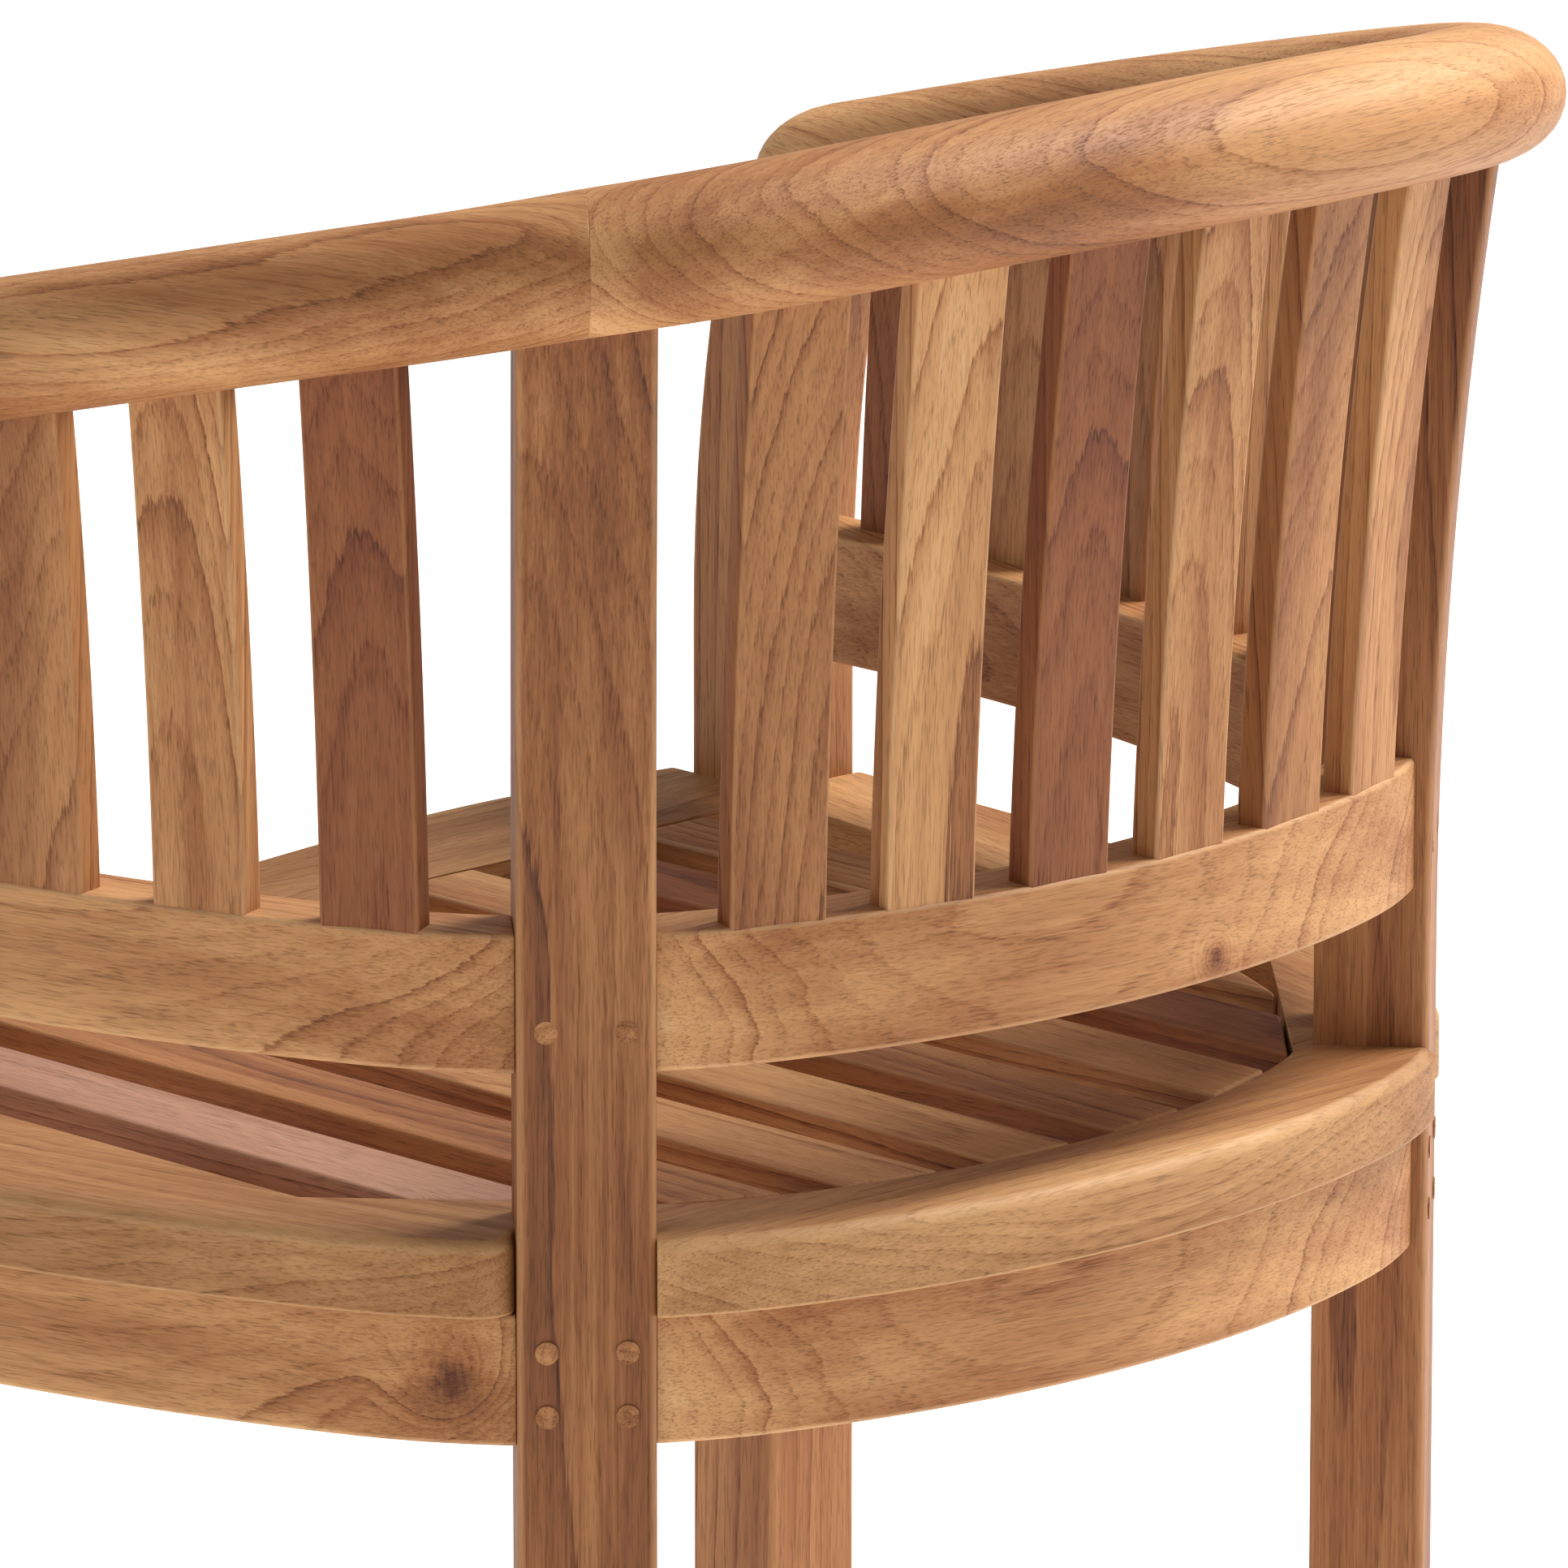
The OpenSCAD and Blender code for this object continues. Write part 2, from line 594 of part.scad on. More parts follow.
// ---- Fasteners ----
module leg_pegs() {
    color(TEAK_PALE) for (side = [RIGHT, LEFT]) {
        back_leg_pegs(side);
        front_leg_pegs(side);
    }
}
module rim_dowels() {
    color(TEAK_PALE) {
        for (s = dowel_s)
            on_plan(s, -apron_thick / 2) dowel();
        for (x = [-1, 1] * dowel_front_x)
            translate([x, front_apron_y, 0]) dowel();
    }
}
module dowel() {
    translate([0, 0, rim_z - dowel_in]) cylinder(d = dowel_d, h = 2 * dowel_in, $fn = 32);
}
// Wood screws driven up through the ledges and the bearer into the seat slats
module slat_screws() {
    color(STEEL) for (i = [0:seat_slats - 1]) {
        x = seat_slat_x(i);
        slat_screw(x, bearer_y, bearer_h);
        slat_screw(x, front_inner_y + cleat_w / 2, cleat_h);
        if (abs(x) < corner_c.x + corner_radius / 2) slat_screw(x, cleat_y(abs(x)), cleat_h);
    }
}
module slat_screw(x, y, through) {
    translate([x, y, rim_z - through]) {
        cylinder(d = screw_d, h = through + screw_in, $fn = 24);
        cylinder(d = screw_head_d, h = screw_head_h, $fn = 24);
    }
}
// Front-to-back place of the middle of the curved ledge
function cleat_y(x) =
    let (off = cleat_off - cleat_w / 2, back_r = back_radius + off, corner_r = corner_radius + off)
    x < back_r * sin(back_angle) ? back_c.y + sqrt(pow(back_r, 2) - pow(x, 2))
    : corner_c.y + sqrt(pow(corner_r, 2) - pow(x - corner_c.x, 2));

back_leg(RIGHT);  // back_leg_right
back_leg(LEFT);  // back_leg_left
front_leg(RIGHT);  // front_leg_right
front_leg(LEFT);  // front_leg_left
crest_rail();
arm_rail(RIGHT);  // arm_rail_right
arm_rail(LEFT);  // arm_rail_left
lower_rail_back();
lower_rail_side(RIGHT);  // lower_rail_right
lower_rail_side(LEFT);  // lower_rail_left
rim_back();
rim_side(RIGHT);  // rim_right
rim_side(LEFT);  // rim_left
rim_front();
apron_back();
apron_side(RIGHT);  // apron_right
apron_side(LEFT);  // apron_left
apron_front();
for (i = [0:back_slats - 1])
    color(TEAK) slat_at(-back_slat_s(i));
for (i = [0:arm_slats - 1]) {
    color(TEAK) slat_at(arm_slat_s(i));
    color(TEAK) slat_at(-arm_slat_s(i));
}
for (i = [0:seat_slats - 1])
    seat_slat(i);
cleat_back();
cleat_front();
seat_bearer();
leg_pegs();
rim_dowels();
slat_screws();
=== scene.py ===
# %% [markdown]
# # A horseshoe garden seat in sanded teak
#
# The seat is joinery: four legs, a lower rail and an apron between each pair of legs, a rim and
# slats to sit on, upright slats round the back and arms, and a thick rounded rail on top. The frame
# that is loaded here holds every one of those pieces at its real size and place. This lesson gives
# each visible piece its eased edges and its own teak, because a plain CAD solid has razor edges and
# no grain.

# %% Load the frame
import math

import bmesh
import bpy
from mathutils import Matrix, Vector
from mathutils.geometry import intersect_line_line_2d


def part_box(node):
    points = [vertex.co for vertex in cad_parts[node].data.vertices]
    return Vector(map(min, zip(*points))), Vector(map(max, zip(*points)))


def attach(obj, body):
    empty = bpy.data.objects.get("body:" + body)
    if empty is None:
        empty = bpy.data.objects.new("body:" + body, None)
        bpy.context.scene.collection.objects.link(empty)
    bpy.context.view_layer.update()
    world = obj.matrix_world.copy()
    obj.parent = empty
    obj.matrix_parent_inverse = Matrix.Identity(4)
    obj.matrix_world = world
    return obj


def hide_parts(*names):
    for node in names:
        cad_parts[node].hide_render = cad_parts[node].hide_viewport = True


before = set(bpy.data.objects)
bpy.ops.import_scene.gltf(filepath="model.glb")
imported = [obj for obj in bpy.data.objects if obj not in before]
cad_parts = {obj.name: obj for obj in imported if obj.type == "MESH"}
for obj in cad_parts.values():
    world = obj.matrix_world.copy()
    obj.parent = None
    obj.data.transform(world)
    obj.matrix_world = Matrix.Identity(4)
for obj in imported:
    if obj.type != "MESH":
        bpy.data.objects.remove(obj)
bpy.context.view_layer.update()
print("nodes in the frame:", len(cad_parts))

# %% [markdown]
# ## The camera
#
# A long lens from far away keeps upright pieces upright and hardly makes the near leg look bigger
# than the far one. The camera looks down a little from behind the right-hand corner. It is placed by
# a turn, a tilt and a position, which is easier to read and to change than a matrix of numbers.

# %% Place the camera
CAMERA_TURN = math.radians(43.891)
CAMERA_TILT = math.radians(13.537)
CAMERA_PLACE = (3.7199, 3.9432, 1.8359)
LENS = 361.7

lens = bpy.data.cameras.new("long_lens")
lens.lens = LENS
lens.sensor_width = 36
lens.clip_end = 60
camera = bpy.data.objects.new("camera", lens)
bpy.context.scene.collection.objects.link(camera)
camera.location = CAMERA_PLACE
camera.rotation_euler = (math.pi / 2 - CAMERA_TILT, 0, math.pi - CAMERA_TURN)
bpy.context.scene.camera = camera
print("camera", round(Vector(CAMERA_PLACE).length, 2), "m away")

# %% [markdown]
# ## The studio
#
# Pale wood is shown on a pale floor, under lights as wide as windows, so that shadows have soft
# edges. The main light hangs high over the seat's left side, a little behind its middle. The floor
# is so pale that it reads as white paper, and it runs on far behind the seat, so no horizon shows.

# %% Floor and lights
FLOOR_SIDE = 80


def plain_material(name, colour, roughness):
    """A matt finish for the stage."""
    material = bpy.data.materials.new(name)
    material.use_nodes = True
    shader = material.node_tree.nodes["Principled BSDF"]
    shader.inputs["Base Color"].default_value = (*colour, 1)
    shader.inputs["Roughness"].default_value = roughness
    return material


def add_light(name, place, aim, side, power, colour=(1, 1, 1)):
    """A square soft light at place that faces the point aim."""
    data = bpy.data.lights.new(name, "AREA")
    data.shape = "SQUARE"
    data.size = side
    data.energy = power
    data.color = colour
    lamp = bpy.data.objects.new(name, data)
    bpy.context.scene.collection.objects.link(lamp)
    lamp.location = place
    lamp.rotation_euler = (Vector(aim) - Vector(place)).to_track_quat("-Z", "Y").to_euler()
    return lamp


floor_bm = bmesh.new()
bmesh.ops.create_grid(floor_bm, x_segments=1, y_segments=1, size=FLOOR_SIDE / 2)
floor_mesh = bpy.data.meshes.new("floor")
floor_bm.to_mesh(floor_mesh)
floor_bm.free()
floor = bpy.data.objects.new("floor", floor_mesh)
bpy.context.scene.collection.objects.link(floor)
floor_material = plain_material("white_paper", (0.93, 0.93, 0.93), 0.9)
floor_shader = floor_material.node_tree.nodes["Principled BSDF"]
floor_shader.inputs["Emission Color"].default_value = (1, 1, 1, 1)
floor_shader.inputs["Emission Strength"].default_value = 0.52
floor.data.materials.append(floor_material)

SEAT_MIDDLE = (0, 0, 0.5)
add_light("window_light", (-2.5, 0.9, 3.8), SEAT_MIDDLE, 2.0, 270)
add_light("fill_light", (3.5, -0.5, 1.6), SEAT_MIDDLE, 3.0, 12)

world = bpy.data.worlds.new("studio")
bpy.context.scene.world = world
world.use_nodes = True
world.node_tree.nodes["Background"].inputs["Color"].default_value = (1, 1, 1, 1)
world.node_tree.nodes["Background"].inputs["Strength"].default_value = 0.40
bpy.context.scene.view_settings.view_transform = "Standard"
print("lights:", len(bpy.data.lights))

# %% [markdown]
# ## The plan curve
#
# A maker sets out such a seat from one curve, seen from above: a shallow arc for the back, a
# tighter bend at each back leg, and a long shallow arc for each arm, which ends square to the
# front. Every rail is parallel to it. So the curve is written once here, as a function of the
# distance along it, and each piece is placed by that distance and by how far it stands in or out.
# The radii are the maker's own figures. Heights and the front legs' place are read from the frame.

# %% The plan curve
BACK_RADIUS = 0.440
BACK_ANGLE = math.radians(19.2)
BEND_RADIUS = 0.184
ARM_ANGLE = math.radians(65.7)
ARM_RADIUS = 0.690
LEG_ANGLE = math.radians(40.4)
LEG_PROUD = 0.004
LEG_W = 0.0475
LEG_D = 0.041

POST_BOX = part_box("front_leg_right")
POST_W = POST_BOX[1][0] - POST_BOX[0][0]
POST_FRONT = POST_BOX[0][1]
POST_X = (POST_BOX[0][0] + POST_BOX[1][0]) / 2
SEAT_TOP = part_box("rim_back")[1][2]
RIM_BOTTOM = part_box("rim_back")[0][2]
RAIL_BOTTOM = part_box("lower_rail_back")[0][2]
RAIL_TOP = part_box("lower_rail_back")[1][2]
APRON_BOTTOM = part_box("apron_back")[0][2]
BACK_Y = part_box("lower_rail_back")[1][1]

BACK_CENTRE = Vector((0, BACK_Y - BACK_RADIUS))


def outward(angle):
    return Vector((math.sin(angle), math.cos(angle)))


BEND_CENTRE = BACK_CENTRE + (BACK_RADIUS - BEND_RADIUS) * outward(BACK_ANGLE)
ARM_CENTRE = BEND_CENTRE + (BEND_RADIUS - ARM_RADIUS) * outward(ARM_ANGLE)
BACK_END = BACK_RADIUS * BACK_ANGLE
LEG_S = BACK_END + BEND_RADIUS * (LEG_ANGLE - BACK_ANGLE)
BEND_END = BACK_END + BEND_RADIUS * (ARM_ANGLE - BACK_ANGLE)
ARM_END = BEND_END + ARM_RADIUS * (math.pi / 2 - ARM_ANGLE)
POST_S = ARM_END + ARM_CENTRE.y - (POST_FRONT + POST_W / 2)


def turn(s):
    """The direction that faces out of the seat at distance s from the middle of the back."""
    if s < 0:
        return -turn(-s)
    if s <= BACK_END:
        return s / BACK_RADIUS
    if s <= BEND_END:
        return BACK_ANGLE + (s - BACK_END) / BEND_RADIUS
    return min(math.pi / 2, ARM_ANGLE + (s - BEND_END) / ARM_RADIUS)


def plan(s, off):
    """The point at distance s along the curve and off outside it. A negative s is on the left."""
    if s < 0:
        mirrored = plan(-s, off)
        return Vector((-mirrored.x, mirrored.y))
    out = outward(turn(s))
    if s <= BACK_END:
        return BACK_CENTRE + (BACK_RADIUS + off) * out
    if s <= BEND_END:
        return BEND_CENTRE + (BEND_RADIUS + off) * out
    if s <= ARM_END:
        return ARM_CENTRE + (ARM_RADIUS + off) * out
    return ARM_CENTRE + Vector((ARM_RADIUS + off, ARM_END - s))


def share_out(first, last, gap):
    """Evenly spaced values from first to last, about gap apart."""
    count = max(1, math.ceil(abs(last - first) / gap))
    return [first + (last - first) * i / count for i in range(count + 1)]


print("back leg at", round(LEG_S, 4), "and front leg at", round(POST_S, 4), "m along the curve")

# %% [markdown]
# ## How the top rail falls
#
# The top rail is highest at the middle of the back. Behind, its top falls as a parabola; along the
# arms it goes on at the slope that the parabola ends with, and droops a little more towards the
# front. The slats and the legs have to meet its underside, so its height is a function too.

# %% Heights along the top rail
UNDERSIDE_AT_LEG = 0.315
CREST_RISE = 0.015
CREST_H = 0.050
ARM_H = 0.049
ARM_FALL = 0.114
FALL_POWER = 1.3
POST_LEAN = 0.015
ARM_PAST_POST = 0.010
ARM_END_S = POST_S + POST_W / 2 - POST_LEAN + ARM_PAST_POST
CREST_TOP = SEAT_TOP + UNDERSIDE_AT_LEG + CREST_RISE + CREST_H
CREST_DROP = CREST_RISE + CREST_H - ARM_H
LEG_SLOPE = 2 * CREST_DROP / LEG_S
ARM_EXTRA = ARM_FALL - LEG_SLOPE * (ARM_END_S - LEG_S)


def rail_height(s):
    """How thick the top rail is, from top to bottom."""
    share = min(abs(s) / LEG_S, 1)
    return ARM_H + (CREST_H - ARM_H) * (1 - share**2) ** 2


def rail_crown(s):
    """The height of the top of the top rail above the ground."""
    if abs(s) <= LEG_S:
        return CREST_TOP - CREST_DROP * (s / LEG_S) ** 2
    past = abs(s) - LEG_S
    droop = ARM_EXTRA * (past / (ARM_END_S - LEG_S)) ** FALL_POWER
    return CREST_TOP - CREST_DROP - LEG_SLOPE * past - droop


def rail_underside(s):
    return rail_crown(s) - rail_height(s)


# %% [markdown]
# ## A solid drawn through rings
#
# Nearly every piece here is a section carried along a path: a rectangle up a leaning leg, a
# rectangle round the plan curve, a rounded section along the top rail. Subdivision or a curve with a
# bevel object could make them, but neither keeps a mitred end where it should be. So one helper
# draws the first section as a face, extrudes it, and pulls each new face to the next section. Every
# corner carries the number that it had in the section, so that later steps can find one long edge.

# %% The ring helper
def new_solid():
    """An empty mesh in the making, with room for corner numbers and for a painted highlight on eased edges.
    """
    bm = bmesh.new()
    bm.verts.layers.int.new("corner")
    bm.verts.layers.float.new("painted_highlight")
    return bm


def first_face(bm, points, corners=None):
    """A face through points. Each point remembers its number, or the one given in corners."""
    corner = bm.verts.layers.int["corner"]
    verts = [bm.verts.new(point) for point in points]
    for number, vert in enumerate(verts):
        vert[corner] = corners[number] if corners else number
    return bm.faces.new(verts)


def close_up(bm):
    """Fills any open end and turns every face outwards."""
    bmesh.ops.holes_fill(bm, edges=[edge for edge in bm.edges if edge.is_boundary], sides=0)
    bmesh.ops.recalc_face_normals(bm, faces=bm.faces)


def loft(rings):
    """A closed solid through rings of points that all have the same number of corners."""
    bm = new_solid()
    face = first_face(bm, rings[0])
    for ring in rings[1:]:
        face = bmesh.ops.extrude_discrete_faces(bm, faces=[face])["faces"][0]
        for vert, place in zip(face.verts, ring):
            vert.co = place
    close_up(bm)
    return bm


def board(outline, corners, bottom, top):
    """A flat board: an outline seen from above, drawn at its underside and extruded upwards."""
    bm = new_solid()
    face = first_face(bm, [(x, y, bottom) for x, y in outline], corners)
    grown = bmesh.ops.extrude_face_region(bm, geom=[face])["geom"]
    risen = [part for part in grown if isinstance(part, bmesh.types.BMVert)]
    bmesh.ops.translate(bm, verts=risen, vec=(0, 0, top - bottom))
    close_up(bm)
    return bm


print("helpers: loft and board")

# %% [markdown]
# ## Eased edges and trimmed ends
#
# Sanded joinery has no sharp edge: sandpaper takes 2 or 3 mm off each, and more off an edge that a
# leg or an arm rubs on. A Bevel modifier would ease all edges alike, so the bevel operator is used
# on chosen edges. The middle of each eased edge is marked, and the finish paints it paler there: a
# painted highlight, the sheen that a rounded edge catches.
# A shoulder that meets a leg is cut by the plane of the leg's side and barely eased, which leaves
# the fine dark line that a real joint shows.

# %% Easing and trimming
SHARP = math.radians(35)
SHOULDER_EASE = 0.0005


def ease(bm, amount, chosen=None, segments=3):
    """Rounds the chosen edges, or every sharp edge, and marks their middles for a painted highlight."""
    edges = chosen
    if edges is None:
        edges = [edge for edge in bm.edges if edge.is_manifold and edge.calc_face_angle() > SHARP]
    made = bmesh.ops.bevel(
        bm, geom=edges, offset=amount, offset_type="OFFSET", affect="EDGES",
        segments=segments, profile=0.5, material=-1, clamp_overlap=True,
    )["faces"]
    painted_highlight = bm.verts.layers.float["painted_highlight"]
    rounded = set(made)
    for vert in {vert for face in made for vert in face.verts}:
        if all(face in rounded for face in vert.link_faces):
            vert[painted_highlight] = 1


def long_edges(bm, number, height=None):
    """The edges that join corners with this number, or only those at a given height."""
    corner = bm.verts.layers.int["corner"]
    return [
        edge for edge in bm.edges
        if all(vert[corner] == number for vert in edge.verts)
        and (height is None or all(abs(vert.co.z - height) < 1e-5 for vert in edge.verts))
    ]


def trim(bm, point, normal):
    """Cuts away what lies past a plane, closes the cut, and barely eases its border."""
    everything = bm.verts[:] + bm.edges[:] + bm.faces[:]
    bmesh.ops.bisect_plane(bm, geom=everything, plane_co=point, plane_no=normal, clear_outer=True)
    border = [edge for edge in bm.edges if edge.is_boundary]
    bmesh.ops.holes_fill(bm, edges=border, sides=0)
    bmesh.ops.bevel(
        bm, geom=border, offset=SHOULDER_EASE, offset_type="OFFSET", affect="EDGES",
        segments=1, profile=0.5, material=-1, clamp_overlap=True,
    )


def at_leg(side, across, out=0.0, z=0.0):
    """A point in a back leg's own directions: across its face, and out of the seat."""
    return on_plan(side * LEG_S, 0, across, out, z)


def on_plan(s, off, across, out, z):
    """A point in the directions of the plan curve at s: along it, and out of the seat."""
    angle = turn(s)
    base = plan(s, off)
    along = Vector((math.cos(angle), -math.sin(angle)))
    place = base + across * along + out * outward(angle)
    return Vector((place.x, place.y, z))


def trim_at_leg(bm, side, towards):
    """Cuts a rail off at the side of a back leg. towards is +1 for a rail that runs on past it."""
    angle = turn(side * LEG_S)
    away = Vector((math.cos(angle), -math.sin(angle), 0)) * -side * towards
    trim(bm, at_leg(side, side * towards * LEG_W / 2), away)


print("helpers: ease, long_edges and trim")

# %% [markdown]
# ## Teak, right through
#
# Teak is honey brown with darker, redder latewood lines, fine dark pores drawn out along the grain,
# and slow changes from pale to brown. A flat pattern that is wrapped round a piece would
# break at every corner. Here the wood is solid: the pattern is worked out at each point in space as
# distance from the middle of a tree, so a face, an edge and an end all show the same rings, and a
# rail that is sawn out of a straight plank shows contour lines and ovals where it curves, as real
# ones do. All pieces share one node group, and each is cut from its own place in the tree.

# %% The tree's rings, as a node group
RING_GAP = 0.0042
SWAY = 0.03
SHIVER = 0.0024
DRIFT_RINGS = 2.2
RAGGED_RINGS = 0.55
KNOT_RINGS = 7.0


def add_node(tree, kind, inputs=None, **settings):
    """A node with its settings, whose inputs are set to values or linked to other nodes' sockets."""
    node = tree.nodes.new(kind)
    for key, value in settings.items():
        setattr(node, key, value)
    for key, value in (inputs or {}).items():
        if isinstance(value, bpy.types.NodeSocket):
            tree.links.new(value, node.inputs[key])
        else:
            node.inputs[key].default_value = value
    return node


def maths(tree, operation, first, second=0.0, third=0.0):
    """One sum on numbers or sockets."""
    inputs = {0: first, 1: second, 2: third}
    return add_node(tree, "ShaderNodeMath", inputs, operation=operation).outputs[0]


def vector_maths(tree, operation, first, second=(0, 0, 0)):
    inputs = {0: first, 1: second}
    return add_node(tree, "ShaderNodeVectorMath", inputs, operation=operation).outputs["Vector"]


def stretched_noise(tree, place, across, along, detail=2.0, roughness=0.5, output="Fac"):
    """Noise that changes across times in a metre across the grain and along times with it."""
    scaled = vector_maths(tree, "MULTIPLY", place, (across, across, along))
    inputs = {"Vector": scaled, "Scale": 1.0, "Detail": detail, "Roughness": roughness}
    return add_node(tree, "ShaderNodeTexNoise", inputs).outputs[output]


def ramp(tree, factor, stops):
    """A colour ramp from (place, colour) pairs, where a colour may be a single grey."""
    node = add_node(tree, "ShaderNodeValToRGB", {"Fac": factor})
    band = node.color_ramp
    while len(band.elements) < len(stops):
        band.elements.new(0.5)
    for element, (place, colour) in zip(band.elements, stops):
        element.position = place
        element.color = (colour, colour, colour, 1) if isinstance(colour, float) else (*colour, 1)
    return node.outputs["Color"]


def teak_figure():
    """The shared group: a place in the tree goes in, and tone, pores and a height come out."""
    tree = bpy.data.node_groups.new("teak_figure", "ShaderNodeTree")
    tree.interface.new_socket("Place", in_out="INPUT", socket_type="NodeSocketVector")
    for name in ("Rings", "Streaks", "Blush", "Knot"):
        tree.interface.new_socket(name, in_out="INPUT", socket_type="NodeSocketFloat")
    for name in ("Tone", "Pores", "Height"):
        tree.interface.new_socket(name, in_out="OUTPUT", socket_type="NodeSocketFloat")
    given = tree.nodes.new("NodeGroupInput")
    place = given.outputs["Place"]

    slow = stretched_noise(tree, place, 9, 2.2, 1.0, output="Color")
    quick = stretched_noise(tree, place, 55, 8, 2.0, output="Color")
    middle_grey = (0.5, 0.5, 0.5)
    slow = vector_maths(tree, "SUBTRACT", slow, middle_grey)
    quick = vector_maths(tree, "SUBTRACT", quick, middle_grey)
    sway = vector_maths(tree, "MULTIPLY", slow, (SWAY, SWAY, 0))
    shiver = vector_maths(tree, "MULTIPLY", quick, (SHIVER, SHIVER, 0))
    grown = vector_maths(tree, "ADD", vector_maths(tree, "ADD", place, sway), shiver)

    flat = vector_maths(tree, "MULTIPLY", grown, (1, 1, 0))
    length = add_node(tree, "ShaderNodeVectorMath", {0: flat}, operation="LENGTH").outputs["Value"]
    uneven = stretched_noise(tree, place, 30, 1.5, 1.0)
    drift = maths(tree, "MULTIPLY", uneven, DRIFT_RINGS)
    years = maths(tree, "ADD", maths(tree, "DIVIDE", length, RING_GAP), drift)
    ragged = stretched_noise(tree, place, 700, 16, 3.0, 0.7)
    years = maths(tree, "MULTIPLY_ADD", maths(tree, "SUBTRACT", ragged, 0.5), RAGGED_RINGS, years)
    years = maths(tree, "MULTIPLY_ADD", given.outputs["Knot"], KNOT_RINGS, years)
    within = maths(tree, "FRACT", years)
    year = maths(tree, "FLOOR", years)
    luck = add_node(tree, "ShaderNodeTexWhiteNoise", {"W": year}, noise_dimensions="1D").outputs["Value"]
    latewood = ramp(tree, within, [(0.0, 0.0), (0.45, 0.12), (0.82, 0.5), (0.93, 1.0), (1.0, 0.0)])
    strength = maths(tree, "MULTIPLY_ADD", maths(tree, "POWER", luck, 1.6), 0.9, 0.12)
    lines = maths(tree, "MULTIPLY", latewood, strength)

    fine = stretched_noise(tree, place, 900, 10, 3.0, 0.6)
    middle = stretched_noise(tree, grown, 190, 3.0, 2.0)
    broad = stretched_noise(tree, grown, 20, 2.6, 2.0)
    dashes = stretched_noise(tree, place, 1500, 85, 1.0)
    pores = ramp(tree, dashes, [(0.53, 0.0), (0.64, 1.0)])
    pores = maths(tree, "MULTIPLY", pores, maths(tree, "MULTIPLY_ADD", latewood, 0.5, 0.5))

    tone = maths(tree, "MULTIPLY_ADD", maths(tree, "SUBTRACT", broad, 0.5), given.outputs["Blush"], 0.5)
    streaks = maths(tree, "ADD", maths(tree, "MULTIPLY", fine, 0.45), maths(tree, "MULTIPLY", middle, 0.55))
    streaks = maths(tree, "SUBTRACT", streaks, 0.5)
    tone = maths(tree, "MULTIPLY_ADD", streaks, given.outputs["Streaks"], tone)
    tone = maths(tree, "SUBTRACT", tone, maths(tree, "MULTIPLY", lines, given.outputs["Rings"]))
    height = maths(tree, "SUBTRACT", maths(tree, "MULTIPLY", fine, 0.6), maths(tree, "MULTIPLY", pores, 0.8))

    result = tree.nodes.new("NodeGroupOutput")
    tree.links.new(tone, result.inputs["Tone"])
    tree.links.new(pores, result.inputs["Pores"])
    tree.links.new(height, result.inputs["Height"])
    return tree


TEAK_FIGURE = teak_figure()
print("nodes in the teak group:", len(TEAK_FIGURE.nodes))

# %% [markdown]
# ## A board's own cut and colour
#
# How a board looks depends on where in the log it was sawn. Close to the middle the rings are
# tight arcs; far out they are nearly flat. Where the face follows the rings they run out into
# arches. So each material takes the direction of the grain, the direction that the rings' outside
# faces, and how far away the heart of the tree is. A Mapping node holds that cut. The colours are
# given as a painter mixes them, dark to pale, and differ a little from board to board. Where a
# branch grew, the rings swirl round a dark knot; a few boards have one.

# %% Teak for one board
def paint(red, green, blue):
    """A colour in 0 to 255 steps, as on a screen, changed to the linear values that shaders use."""
    values = (red / 255, green / 255, blue / 255)
    return tuple(v / 12.92 if v <= 0.04045 else ((v + 0.055) / 1.055) ** 2.4 for v in values)


HONEY = [paint(92, 46, 20), paint(154, 98, 54), paint(200, 148, 96), paint(226, 184, 136)]
BROWN = [paint(78, 38, 16), paint(136, 82, 43), paint(176, 122, 74), paint(206, 156, 106)]
RED = [paint(70, 28, 12), paint(120, 64, 31), paint(154, 96, 54), paint(186, 132, 82)]
PURPLE = [paint(86, 50, 40), paint(136, 92, 70), paint(174, 130, 104), paint(200, 160, 132)]
TAN = [paint(98, 52, 24), paint(148, 98, 54), paint(188, 140, 90), paint(216, 174, 124)]


